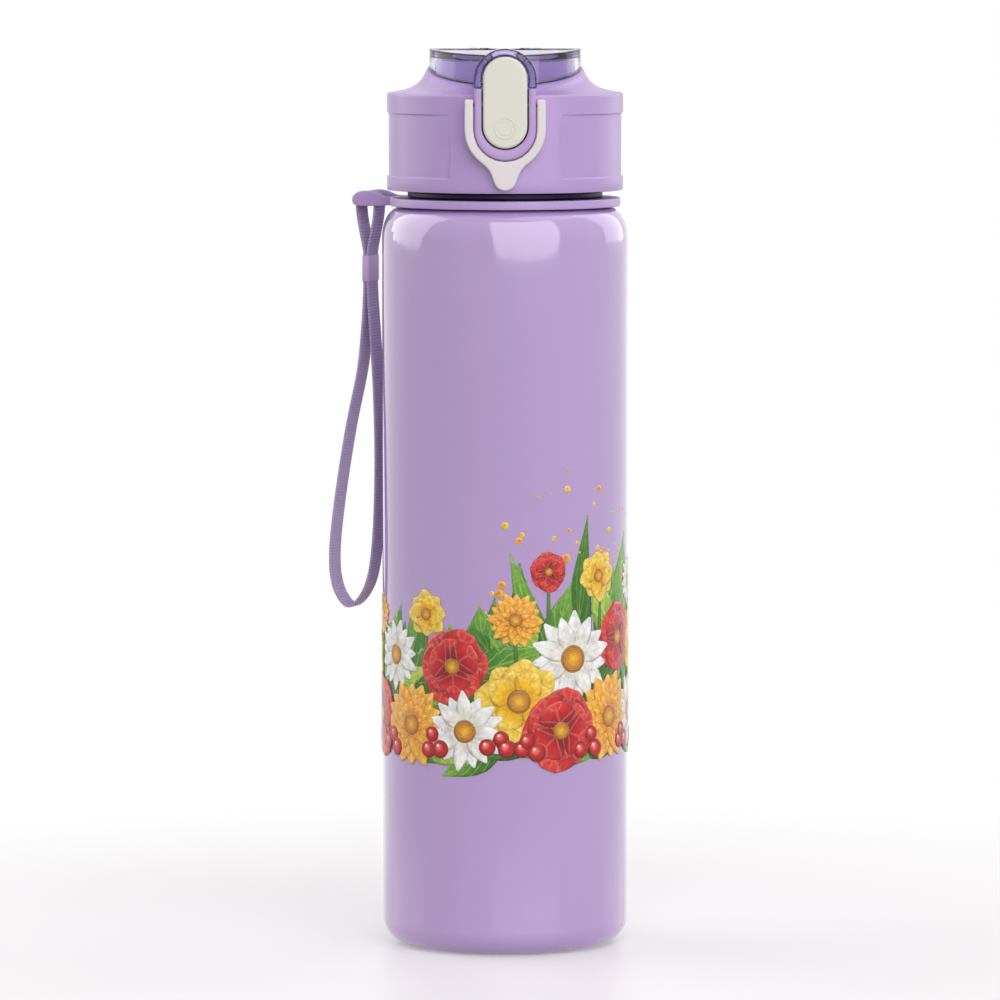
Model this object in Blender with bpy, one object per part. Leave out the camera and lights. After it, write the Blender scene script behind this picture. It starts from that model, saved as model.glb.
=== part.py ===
"""Sports water bottle with a screw cap, a latched flip cover, a lock bail and a wrist strap.

Metres, +Z up. The origin is the centre of the base. The front of the cap, with its latch
button, faces -Y, and the strap lug points to -X, turned a little to the back.
"""

import math

import bmesh
import bpy
from mathutils import Matrix, Vector

MM = 0.001

# Clearances shared by all pieces
GAP = 0.3 * MM
RUNNING_GAP = 0.4 * MM
OVERRUN = 2.0 * MM

# Bottle body
BODY_DIAMETER = 73.0 * MM
BODY_HEIGHT = 219.6 * MM
BODY_WALL = 1.8 * MM
BODY_FLOOR = 3.0 * MM
BASE_CORNER = 7.5 * MM
SHOULDER_CORNER_WIDTH = 5.5 * MM
SHOULDER_CORNER_HEIGHT = 9.0 * MM
STANDING_RING_INNER_RADIUS = 23.0 * MM
BASE_PAD_RADIUS = 13.0 * MM
BASE_GROOVE_DEPTH = 1.2 * MM
BASE_GROOVE_SLOPE = 1.5 * MM

# Neck, with the groove that holds the strap ring under a snap bead
NECK_DIAMETER = 54.4 * MM
NECK_WALL = 2.2 * MM
NECK_BEAD_DIAMETER = 57.8 * MM
NECK_BEAD_HEIGHT = 1.7 * MM
NECK_GROOVE_DIAMETER = 56.4 * MM
NECK_LENGTH_ABOVE_BEAD = 14.6 * MM
NECK_RIM_ROUND = 0.6 * MM

# Strap ring and its lug
RING_BAND_WIDTH = 5.7 * MM
RING_THICKNESS = 2.5 * MM
LUG_TURN_DEG = 20.0
LUG_BEYOND_BODY = 10.7 * MM
LUG_ARM_WIDTH = 2.0 * MM
LUG_END_HEIGHT = 4.6 * MM
LUG_END_DROP = 0.6 * MM
LUG_SLOT_BEYOND_BODY = 2.1 * MM
LUG_BAR_RADIUS = 1.5 * MM
LUG_ROOT_INSET = 3.0 * MM

# Wrist strap of flat webbing, closed over the lug's bar
WEBBING_WIDTH = 8.5 * MM
WEBBING_THICKNESS = 1.0 * MM
KEEPER_LENGTH = 7.8 * MM
KEEPER_WALL = 0.8 * MM
KEEPER_BELOW_BAR = 20.4 * MM
KEEPER_OUT_FROM_BAR = 0.7 * MM
LOOP_DROP = 97.7 * MM
LOOP_WIDTH = 14.8 * MM

# Cap shell
CAP_SKIRT_ROOM = 3.4 * MM
CAP_WALL = 1.8 * MM
CAP_UNDER_GAP = 2.3 * MM
CAP_BOTTOM_BAND = 4.4 * MM
CAP_GRIP_HEIGHT = 18.1 * MM
CAP_TOP_BAND = 5.4 * MM
CAP_EDGE_ROUND = 0.8 * MM
CAP_SHOULDER_RISE = 7.1 * MM
GRIP_RECESS = 0.5 * MM
GRIP_START_DEG = 27.0
GRIP_EDGE_SLANT_DEG = 7.0

# Drinking end of the cap, under the flip cover
COVER_DIAMETER = 44.8 * MM
SEAT_ABOVE_SHOULDER = 0.4 * MM
COVER_SEAT_TILT_DEG = 10.0
COVER_RISE = 6.5 * MM
COVER_WALL = 1.5 * MM
COVER_TOP_WALL = 1.6 * MM
COVER_TOP_ROUND = 1.0 * MM
INNER_COLLAR_HEADROOM = 2.4 * MM
INNER_COLLAR_WALL = 1.5 * MM
DECK_ABOVE_EDGE = 1.0 * MM
DECK_THICKNESS = 1.8 * MM
SPOUT_OUTER_DIAMETER = 17.0 * MM
SPOUT_BORE_DIAMETER = 12.0 * MM
SPOUT_LIP_ROUND = 1.0 * MM
SPOUT_FLANGE_DIAMETER = 26.0 * MM
SPOUT_FLANGE_THICKNESS = 2.0 * MM
SEAL_RIM_WALL = 1.6 * MM
SEAL_RIM_DEPTH = 1.8 * MM
SEAL_PAD_THICKNESS = 1.5 * MM

# Liner with the cap's screw thread, and the gasket it presses on the neck's rim
LINER_SKIRT_WALL = 1.8 * MM
LINER_THREAD_ROOM = 0.8 * MM
LINER_TOP_THICKNESS = 1.8 * MM
LINER_FLANGE_THICKNESS = 1.4 * MM
LINER_MOUTH_DIAMETER = 20.0 * MM
GASKET_THICKNESS = 1.7 * MM
GASKET_INNER_DIAMETER = 48.6 * MM

# Latch: housing on the cap, hood on the cover, rocking button and its pin
HOUSING_WIDTH = 17.6 * MM
HOUSING_PROUD = 2.6 * MM
HOUSING_DEPTH = 5.8 * MM
PIVOT_BELOW_EDGE = 2.0 * MM
LATCH_HALF_LENGTH = 16.1 * MM
HOOD_START_ABOVE_PIVOT = 5.0 * MM
BUTTON_WIDTH = 12.9 * MM
BUTTON_TOP_ABOVE_PIVOT = 14.1 * MM
BUTTON_BOTTOM_BELOW_PIVOT = 12.6 * MM
BUTTON_THICKNESS = 2.2 * MM
BUTTON_PROUD = 0.9 * MM
BUTTON_EDGE_ROUND = 0.7 * MM
BUTTON_BARREL_RADIUS = 1.9 * MM
BUTTON_POCKET_DEPTH = 4.3 * MM
BUTTON_DIMPLE_DIAMETER = 6.0 * MM
BUTTON_DIMPLE_DEPTH = 0.35 * MM
BUTTON_DIMPLE_BELOW_PIVOT = 6.8 * MM
HOOK_WIDTH = 6.0 * MM
HOOK_THICKNESS = 1.8 * MM
HOOK_ABOVE_PIVOT = 9.3 * MM
HOOK_REACH = 2.2 * MM
CATCH_BAR_HEIGHT = 1.7 * MM
CATCH_BAR_DEPTH = 2.0 * MM
CATCH_GRIP = 0.8 * MM
PIN_RADIUS = 0.6 * MM
PIN_CLEARANCE = 0.25 * MM
BUTTON_SPRING_RADIUS = 1.6 * MM
BUTTON_SPRING_WIRE = 0.4 * MM
BUTTON_SPRING_TURNS = 3
BUTTON_SPRING_BELOW_PIVOT = 8.0 * MM
BUTTON_SPRING_SEAT_DEPTH = 0.9 * MM

# Lock bail that swings from the housing up over the hood
BAIL_THICKNESS = 2.2 * MM
BAIL_ARM_WIDTH = 2.5 * MM
BAIL_SIDE_GAP = 0.5 * MM
BAIL_END_ABOVE_PIVOT = 1.6 * MM
BAIL_TAB_LENGTH = 8.4 * MM
BAIL_TAB_TIP_RADIUS = 3.3 * MM
BAIL_EDGE_ROUND = 0.4 * MM
BAIL_FLARE_DEG = 38.0
BAIL_TIP_TAPER_DEG = 20.0

# Cover hinge at the back
HINGE_BEHIND_COVER = 3.2 * MM
HINGE_UNDER_TOP = 0.4 * MM
HINGE_PIN_RADIUS = 1.0 * MM
HINGE_KNUCKLE_RADIUS = 2.6 * MM
HINGE_HALF_WIDTH = 11.0 * MM
HINGE_EAR_WIDTH = 3.0 * MM
HINGE_KNUCKLE_WIDTH = 3.4 * MM
COVER_SPRING_WIRE = 0.7 * MM
COVER_SPRING_TURNS = 4
COVER_SPRING_LEG = 6.0 * MM

# Roundness of the meshes
BODY_STEPS = 60
SMALL_STEPS = 24
CORNER_STEPS = 6
HIDDEN_CORNER_STEPS = 3
EDGE_STEPS = 3
SMALL_EDGE_STEPS = 2
LOOP_STEPS_PER_POINT = 4
SPRING_STEPS_PER_TURN = 12
SPRING_WIRE_SIDES = 6
SHARP_ANGLE_DEG = 35.0

# Heights and radii that follow from the sizes above
BODY_RADIUS = BODY_DIAMETER / 2
LUG_REACH = BODY_RADIUS + LUG_BEYOND_BODY
LUG_SLOT_START = BODY_RADIUS + LUG_SLOT_BEYOND_BODY
NECK_RADIUS = NECK_DIAMETER / 2
LINER_BORE_RADIUS = NECK_RADIUS + LINER_THREAD_ROOM
LINER_SKIRT_RADIUS = LINER_BORE_RADIUS + LINER_SKIRT_WALL
CAP_RADIUS = LINER_SKIRT_RADIUS + CAP_SKIRT_ROOM + CAP_WALL
RING_RADIUS = NECK_GROOVE_DIAMETER / 2 + GAP + RING_BAND_WIDTH
COVER_RADIUS = COVER_DIAMETER / 2
HINGE_BACK = COVER_RADIUS + HINGE_BEHIND_COVER
RING_BOTTOM = BODY_HEIGHT + GAP
RING_TOP = RING_BOTTOM + RING_THICKNESS
BEAD_BOTTOM = RING_TOP + GAP
BEAD_TOP = BEAD_BOTTOM + NECK_BEAD_HEIGHT
NECK_TOP = BEAD_TOP + NECK_LENGTH_ABOVE_BEAD
CAP_BOTTOM = RING_TOP + CAP_UNDER_GAP
GRIP_BOTTOM = CAP_BOTTOM + CAP_BOTTOM_BAND
GRIP_TOP = GRIP_BOTTOM + CAP_GRIP_HEIGHT
CAP_EDGE = GRIP_TOP + CAP_TOP_BAND
DECK_HEIGHT = CAP_EDGE + DECK_ABOVE_EDGE
PIVOT_HEIGHT = CAP_EDGE - PIVOT_BELOW_EDGE
COVER_SEAT_HEIGHT = CAP_EDGE + CAP_SHOULDER_RISE + SEAT_ABOVE_SHOULDER
COVER_TOP_HEIGHT = COVER_SEAT_HEIGHT + COVER_RISE
COVER_CEILING = COVER_TOP_HEIGHT - COVER_TOP_WALL
INNER_COLLAR_TOP_HEIGHT = COVER_CEILING - INNER_COLLAR_HEADROOM
SPOUT_TOP_HEIGHT = COVER_CEILING - GAP - SEAL_PAD_THICKNESS - GAP
HINGE_HEIGHT = COVER_TOP_HEIGHT - HINGE_KNUCKLE_RADIUS - HINGE_UNDER_TOP
GASKET_BOTTOM = NECK_TOP + GAP
LINER_BOTTOM = CAP_BOTTOM + GAP
LINER_TOP_UNDERSIDE = GASKET_BOTTOM + GASKET_THICKNESS + GAP
LINER_TOP = LINER_TOP_UNDERSIDE + LINER_TOP_THICKNESS
BAR_OUT = LUG_SLOT_START + RUNNING_GAP + WEBBING_THICKNESS + GAP + LUG_BAR_RADIUS + GAP
BAR_HEIGHT = RING_BOTTOM + LUG_BAR_RADIUS - LUG_END_DROP / 2
HOUSING_FRONT = -(CAP_RADIUS + HOUSING_PROUD)
PIN_Y = HOUSING_FRONT + BAIL_THICKNESS / 2
PIN_HOLE_RADIUS = PIN_RADIUS + PIN_CLEARANCE
BUTTON_POCKET_HALF = BUTTON_WIDTH / 2 + RUNNING_GAP


def clear_scene():
    """Remove whatever the open file holds."""
    for item in list(bpy.data.objects):
        bpy.data.objects.remove(item, do_unlink=True)


def plastic(name, colour, roughness, metallic=0.0, transmission=0.0):
    """A Principled material in linear colour."""
    material = bpy.data.materials.new(name)
    material.use_nodes = True
    shader = material.node_tree.nodes["Principled BSDF"]
    shader.inputs["Base Color"].default_value = (*colour, 1.0)
    shader.inputs["Roughness"].default_value = roughness
    shader.inputs["Metallic"].default_value = metallic
    shader.inputs["Transmission Weight"].default_value = transmission
    return material


def place_front(u, v, w):
    """An outline in X and Z, thick along Y."""
    return (u, w, v)


def place_side(u, v, w):
    """An outline in Y and Z, thick along X."""
    return (w, u, v)


def place_top(u, v, w):
    """An outline in X and Y, thick along Z."""
    return (u, v, w)


def arc(centre, width, height, start_deg, end_deg, steps):
    """Points on an ellipse's arc, both ends included."""
    points = []
    for step in range(steps + 1):
        angle = math.radians(start_deg + (end_deg - start_deg) * step / steps)
        points.append((centre[0] + width * math.cos(angle), centre[1] + height * math.sin(angle)))
    return points


def smooth_curve(points, steps):
    """Points on a Catmull-Rom curve through the given ones."""
    last = len(points) - 1
    result = []
    for index in range(last):
        p = [Vector(points[min(max(index + k, 0), last)]) for k in (-1, 0, 1, 2)]
        for step in range(steps):
            t = step / steps
            straight = 2 * p[1] + (p[2] - p[0]) * t
            bend = (2 * p[0] - 5 * p[1] + 4 * p[2] - p[3]) * t * t
            twist = (3 * p[1] - p[0] - 3 * p[2] + p[3]) * t * t * t
            result.append((straight + bend + twist) / 2)
    result.append(Vector(points[-1]))
    return result


def finish_mesh(name, bm, material):
    """Turn a bmesh into an object with outward faces and smooth round sides."""
    bmesh.ops.recalc_face_normals(bm, faces=bm.faces)
    mesh = bpy.data.meshes.new(name)
    bm.to_mesh(mesh)
    bm.free()
    if material:
        mesh.materials.append(material)
    mesh.shade_smooth()
    mesh.set_sharp_from_angle(angle=math.radians(SHARP_ANGLE_DEG))
    item = bpy.data.objects.new(name, mesh)
    bpy.context.scene.collection.objects.link(item)
    return item


def revolve(name, profile, material=None, steps=BODY_STEPS):
    """Turn a closed profile of (radius, height) points about Z."""
    bm = bmesh.new()
    rings = []
    for radius, height in profile:
        count = steps if radius else 1
        angles = [2 * math.pi * step / count for step in range(count)]
        rings.append([bm.verts.new((radius * math.cos(a), radius * math.sin(a), height)) for a in angles])
    pairs = list(zip(rings, rings[1:]))
    if len(rings[0]) > 1:
        pairs.append((rings[-1], rings[0]))
    for first, second in pairs:
        for step in range(steps):
            after = step + 1
            corners = [first[step % len(first)], first[after % len(first)]]
            corners += [second[after % len(second)], second[step % len(second)]]
            bm.faces.new(list(dict.fromkeys(corners)))
    return finish_mesh(name, bm, material)


def prism(name, outline, low, high, place, material=None):
    """Give a closed outline thickness from low to high."""
    bm = bmesh.new()
    near = [bm.verts.new(place(u, v, low)) for u, v in outline]
    far = [bm.verts.new(place(u, v, high)) for u, v in outline]
    bm.faces.new(near)
    bm.faces.new(list(reversed(far)))
    count = len(outline)
    for index in range(count):
        after = (index + 1) % count
        bm.faces.new((near[index], far[index], far[after], near[after]))
    return finish_mesh(name, bm, material)


def tube(name, points, radius, sides, material=None):
    """A round wire of one body along an open run of points."""
    bm = bmesh.new()
    rings = []
    across = Vector((0, 0, 1)) if abs((points[1] - points[0]).normalized().z) < 0.9 else Vector((0, 1, 0))
    for index, point in enumerate(points):
        before = points[max(index - 1, 0)]
        after = points[min(index + 1, len(points) - 1)]
        along = (after - before).normalized()
        across = (across - along * across.dot(along)).normalized()
        third = along.cross(across)
        ring = []
        for side in range(sides):
            angle = 2 * math.pi * side / sides
            offset = across * math.cos(angle) + third * math.sin(angle)
            ring.append(bm.verts.new(point + offset * radius))
        rings.append(ring)
    for first, second in zip(rings, rings[1:]):
        for side in range(sides):
            after = (side + 1) % sides
            bm.faces.new((first[side], first[after], second[after], second[side]))
    bm.faces.new(list(reversed(rings[0])))
    bm.faces.new(rings[-1])
    return finish_mesh(name, bm, material)


def disc_outline(centre, radius, steps=SMALL_STEPS):
    """A full circle of points."""
    return arc(centre, radius, radius, 0, 360, steps)[:-1]


def stadium_outline(half_width, low, high, steps=SMALL_STEPS // 2):
    """An upright outline with a half round at both ends."""
    top = arc((0, high - half_width), half_width, half_width, 0, 180, steps)
    bottom = arc((0, low + half_width), half_width, half_width, 180, 360, steps)
    return top + bottom


def arch_outline(half_width, low, high, steps=SMALL_STEPS // 2):
    """A flat bottom and a half round top."""
    return [(half_width, low)] + arc((0, high - half_width), half_width, half_width, 0, 180, steps) \
        + [(-half_width, low)]


def box_outline(left, right, low, high):
    """A plain rectangle."""
    return [(left, low), (right, low), (right, high), (left, high)]


def combine(item, other, operation):
    """Cut a guide solid from a piece, or join it to the piece."""
    modifier = item.modifiers.new(other.name, "BOOLEAN")
    modifier.operation = operation
    modifier.solver = "EXACT"
    modifier.object = other
    other.hide_render = True
    other.display_type = "WIRE"


def cut(item, other):
    combine(item, other, "DIFFERENCE")


def join(item, other):
    combine(item, other, "UNION")


def round_edges(item, width, steps=EDGE_STEPS):
    """Bevel the sharp edges of a piece."""
    modifier = item.modifiers.new("rounded_edges", "BEVEL")
    modifier.width = width
    modifier.segments = steps
    modifier.limit_method = "ANGLE"
    modifier.angle_limit = math.radians(SHARP_ANGLE_DEG)
    return modifier


def set_origin(item, point):
    """Put an object's origin on its joint's axis without moving its shape."""
    item.data.transform(Matrix.Translation(-Vector(point)))
    item.location = point


def build_body(material):
    """Blow-moulded shell: standing ring, rounded corners, and a neck with a snap bead."""
    inner_radius = BODY_RADIUS - BODY_WALL
    bore = NECK_RADIUS - NECK_WALL
    under_shoulder = BODY_HEIGHT - BODY_WALL
    corner_inside = BASE_CORNER - BODY_WALL
    profile = [(0, 0), (BASE_PAD_RADIUS, 0)]
    profile += [(BASE_PAD_RADIUS + BASE_GROOVE_SLOPE, BASE_GROOVE_DEPTH)]
    profile += [(STANDING_RING_INNER_RADIUS - BASE_GROOVE_SLOPE, BASE_GROOVE_DEPTH)]
    profile += [(STANDING_RING_INNER_RADIUS, 0)]
    profile += arc((BODY_RADIUS - BASE_CORNER, BASE_CORNER), BASE_CORNER, BASE_CORNER, 270, 360, CORNER_STEPS)
    shoulder_centre = (BODY_RADIUS - SHOULDER_CORNER_WIDTH, BODY_HEIGHT - SHOULDER_CORNER_HEIGHT)
    profile += arc(shoulder_centre, SHOULDER_CORNER_WIDTH, SHOULDER_CORNER_HEIGHT, 0, 90, CORNER_STEPS)
    profile += [(NECK_GROOVE_DIAMETER / 2, BODY_HEIGHT), (NECK_GROOVE_DIAMETER / 2, BEAD_BOTTOM)]
    profile += [(NECK_BEAD_DIAMETER / 2, BEAD_BOTTOM), (NECK_BEAD_DIAMETER / 2, BEAD_TOP)]
    profile += [(NECK_RADIUS, BEAD_TOP), (NECK_RADIUS, NECK_TOP - NECK_RIM_ROUND)]
    profile += [(NECK_RADIUS - NECK_RIM_ROUND, NECK_TOP), (bore + NECK_RIM_ROUND, NECK_TOP)]
    profile += [(bore, NECK_TOP - NECK_RIM_ROUND), (bore, under_shoulder)]
    inside_centre = (shoulder_centre[0], shoulder_centre[1])
    inside_width = SHOULDER_CORNER_WIDTH - BODY_WALL
    inside_height = SHOULDER_CORNER_HEIGHT - BODY_WALL
    profile += arc(inside_centre, inside_width, inside_height, 90, 0, HIDDEN_CORNER_STEPS)
    floor_centre = (inner_radius - corner_inside, BODY_FLOOR + corner_inside)
    profile += arc(floor_centre, corner_inside, corner_inside, 0, -90, HIDDEN_CORNER_STEPS)
    profile += [(0, BODY_FLOOR)]
    return revolve("bottle_body", profile, material)


def build_ring(material):
    """Flat ring that turns under the neck bead, with a two-armed lug and a cross bar."""
    inner = NECK_GROOVE_DIAMETER / 2 + GAP
    profile = [(inner, RING_BOTTOM), (RING_RADIUS, RING_BOTTOM), (RING_RADIUS, RING_TOP), (inner, RING_TOP)]
    ring = revolve("strap_ring", profile, material)
    half = WEBBING_WIDTH / 2 + RUNNING_GAP + LUG_ARM_WIDTH
    start = RING_RADIUS - LUG_ROOT_INSET
    end_low = RING_BOTTOM - LUG_END_DROP
    end_high = end_low + LUG_END_HEIGHT
    nose = LUG_END_HEIGHT / 2
    side = [(-start, RING_BOTTOM), (-start, RING_TOP), (-LUG_SLOT_START, RING_TOP)]
    side += arc((-LUG_REACH + nose, end_low + nose), nose, nose, 90, 270, CORNER_STEPS * 2)
    side += [(-LUG_SLOT_START, end_low), (-RING_RADIUS - RUNNING_GAP, RING_BOTTOM)]
    lug = prism("add_lug", side, -half, half, place_front)
    round_edges(lug, LUG_ARM_WIDTH / 4, SMALL_EDGE_STEPS)
    join(ring, lug)
    slot_half = half - LUG_ARM_WIDTH
    slot = prism("cut_lug_slot", box_outline(-LUG_REACH - OVERRUN, -LUG_SLOT_START, end_low - OVERRUN,
                                             end_high + OVERRUN), -slot_half, slot_half, place_front)
    cut(ring, slot)
    bar_half = slot_half + LUG_ARM_WIDTH / 2
    bar = prism("add_lug_bar", disc_outline((-BAR_OUT, BAR_HEIGHT), LUG_BAR_RADIUS), -bar_half, bar_half,
                place_front)
    join(ring, bar)
    return ring, [lug, slot, bar]


# The wrist loop's line: how far out from the keeper, in shares of LOOP_WIDTH, and how far
# down from it, in shares of LOOP_DROP
WRIST_LOOP_SHARES = [
    (0.07, 0.07), (0.13, 0.155), (0.23, 0.275), (0.46, 0.46), (0.68, 0.68), (0.79, 0.845),
    (0.71, 0.945), (0.43, 1.0), (0.13, 0.965), (-0.07, 0.885), (-0.17, 0.735), (-0.2, 0.53),
    (-0.18, 0.325), (-0.125, 0.165), (-0.07, 0.07),
]
# The short legs between bar and keeper: height between them as a share, and how much of the
# way from the bar's side to the keeper's side is done
UPPER_LEG_SHARES = [(0.0, 0.0), (0.35, 0.12), (0.75, 0.75)]


def strap_line():
    """Centre line of the webbing in X and Z, closed: over the bar, down, round the wrist loop, up."""
    wrap = LUG_BAR_RADIUS + GAP + WEBBING_THICKNESS / 2
    ply = (WEBBING_THICKNESS + GAP) / 2
    keeper_x = -(BAR_OUT + KEEPER_OUT_FROM_BAR)
    keeper_top = BAR_HEIGHT - KEEPER_BELOW_BAR + KEEPER_LENGTH / 2
    keeper_low = keeper_top - KEEPER_LENGTH
    outer = []
    inner = []
    for down, across in UPPER_LEG_SHARES:
        height = BAR_HEIGHT + (keeper_top - BAR_HEIGHT) * down
        outer.append((-BAR_OUT - wrap + (keeper_x - ply + BAR_OUT + wrap) * across, height))
        inner.append((-BAR_OUT + wrap + (keeper_x + ply + BAR_OUT - wrap) * across, height))
    outer += [(keeper_x - ply, keeper_top), (keeper_x - ply, keeper_low)]
    inner += [(keeper_x + ply, keeper_top), (keeper_x + ply, keeper_low)]
    wrist = [(keeper_x - LOOP_WIDTH * out, keeper_low - LOOP_DROP * down) for out, down in WRIST_LOOP_SHARES]
    run = smooth_curve(outer + wrist + list(reversed(inner)), LOOP_STEPS_PER_POINT)
    over = arc((-BAR_OUT, BAR_HEIGHT), wrap, wrap, 0, 180, CORNER_STEPS * 2)
    return run + [Vector(point) for point in over[1:-1]]


def build_webbing(material):
    """Flat woven tape along the strap's line."""
    line = strap_line()
    count = len(line)
    half = WEBBING_WIDTH / 2
    bm = bmesh.new()
    rows = []
    for index, point in enumerate(line):
        along = (line[(index + 1) % count] - line[index - 1]).normalized()
        out = Vector((along.y, -along.x)) * WEBBING_THICKNESS / 2
        corners = []
        for offset, side in ((out, -half), (out, half), (-out, half), (-out, -half)):
            spot = point + offset
            corners.append(bm.verts.new((spot.x, side, spot.y)))
        rows.append(corners)
    for index, first in enumerate(rows):
        second = rows[(index + 1) % count]
        for side in range(4):
            after = (side + 1) % 4
            bm.faces.new((first[side], first[after], second[after], second[side]))
    return finish_mesh("strap_webbing", bm, material)


def build_keeper(material):
    """Moulded sleeve that holds the two plies together."""
    keeper_x = -(BAR_OUT + KEEPER_OUT_FROM_BAR)
    top = BAR_HEIGHT - KEEPER_BELOW_BAR + KEEPER_LENGTH / 2
    hole_across = WEBBING_THICKNESS + GAP / 2 + GAP
    hole_wide = WEBBING_WIDTH / 2 + GAP
    outline = box_outline(keeper_x - hole_across - KEEPER_WALL, keeper_x + hole_across + KEEPER_WALL,
                          -hole_wide - KEEPER_WALL, hole_wide + KEEPER_WALL)
    keeper = prism("strap_keeper", outline, top - KEEPER_LENGTH, top, place_top, material)
    round_edges(keeper, KEEPER_WALL / 2, SMALL_EDGE_STEPS)
    hole = prism("cut_keeper", box_outline(keeper_x - hole_across, keeper_x + hole_across, -hole_wide, hole_wide),
                 top - KEEPER_LENGTH - OVERRUN, top + OVERRUN, place_top)
    cut(keeper, hole)
    return keeper, hole


def shoulder_curve(offset=0.0):
    """The cap's concave rise from its edge to the cover's seat, as (radius, height) points."""
    start = Vector((CAP_RADIUS - CAP_EDGE_ROUND, CAP_EDGE))
    end = Vector((COVER_RADIUS, CAP_EDGE + CAP_SHOULDER_RISE))
    corner = Vector((COVER_RADIUS + (start.x - end.x) / 4, CAP_EDGE + CAP_SHOULDER_RISE / 3))
    points = []
    for step in range(CORNER_STEPS + 1):
        t = step / CORNER_STEPS
        point = start * (1 - t) ** 2 + corner * 2 * t * (1 - t) + end * t * t
        points.append((point.x - offset, point.y - offset))
    return points


def tilted_cutter(name, lift):
    """A block whose lower face is the tilted plane that the cover seats on."""
    rise = math.tan(math.radians(COVER_SEAT_TILT_DEG))
    reach = COVER_RADIUS + CAP_SHOULDER_RISE
    front = COVER_SEAT_HEIGHT - reach * rise + lift
    back = COVER_SEAT_HEIGHT + reach * rise + lift
    top = COVER_TOP_HEIGHT + CAP_SHOULDER_RISE + OVERRUN
    outline = [(-reach, front), (reach, back), (reach, top), (-reach, top)]
    return prism(name, outline, -CAP_RADIUS, CAP_RADIUS, place_side)


def grip_cutter(side):
    """A ring sector, slanted at its front edge, that sinks one grip panel."""
    deep = CAP_RADIUS - GRIP_RECESS
    proud = CAP_RADIUS + OVERRUN
    steps = BODY_STEPS // 3 + 1
    bm = bmesh.new()
    rows = []
    for step in range(steps + 1):
        share = step / steps
        row = []
        for height, slant in ((GRIP_BOTTOM, -GRIP_EDGE_SLANT_DEG / 2), (GRIP_TOP, GRIP_EDGE_SLANT_DEG / 2)):
            first = GRIP_START_DEG + slant
            angle = math.radians(first + (180 - 2 * first) * share)
            across = side * math.sin(angle)
            back = -math.cos(angle)
            row.append(bm.verts.new((across * deep, back * deep, height)))
            row.append(bm.verts.new((across * proud, back * proud, height)))
        rows.append(row)
    for first, second in zip(rows, rows[1:]):
        for a, b in ((0, 1), (1, 3), (3, 2), (2, 0)):
            bm.faces.new((first[a], first[b], second[b], second[a]))
    for row in (rows[0], rows[-1]):
        bm.faces.new((row[0], row[1], row[3], row[2]))
    return finish_mesh("cut_grip_left" if side < 0 else "cut_grip_right", bm, None)


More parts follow.
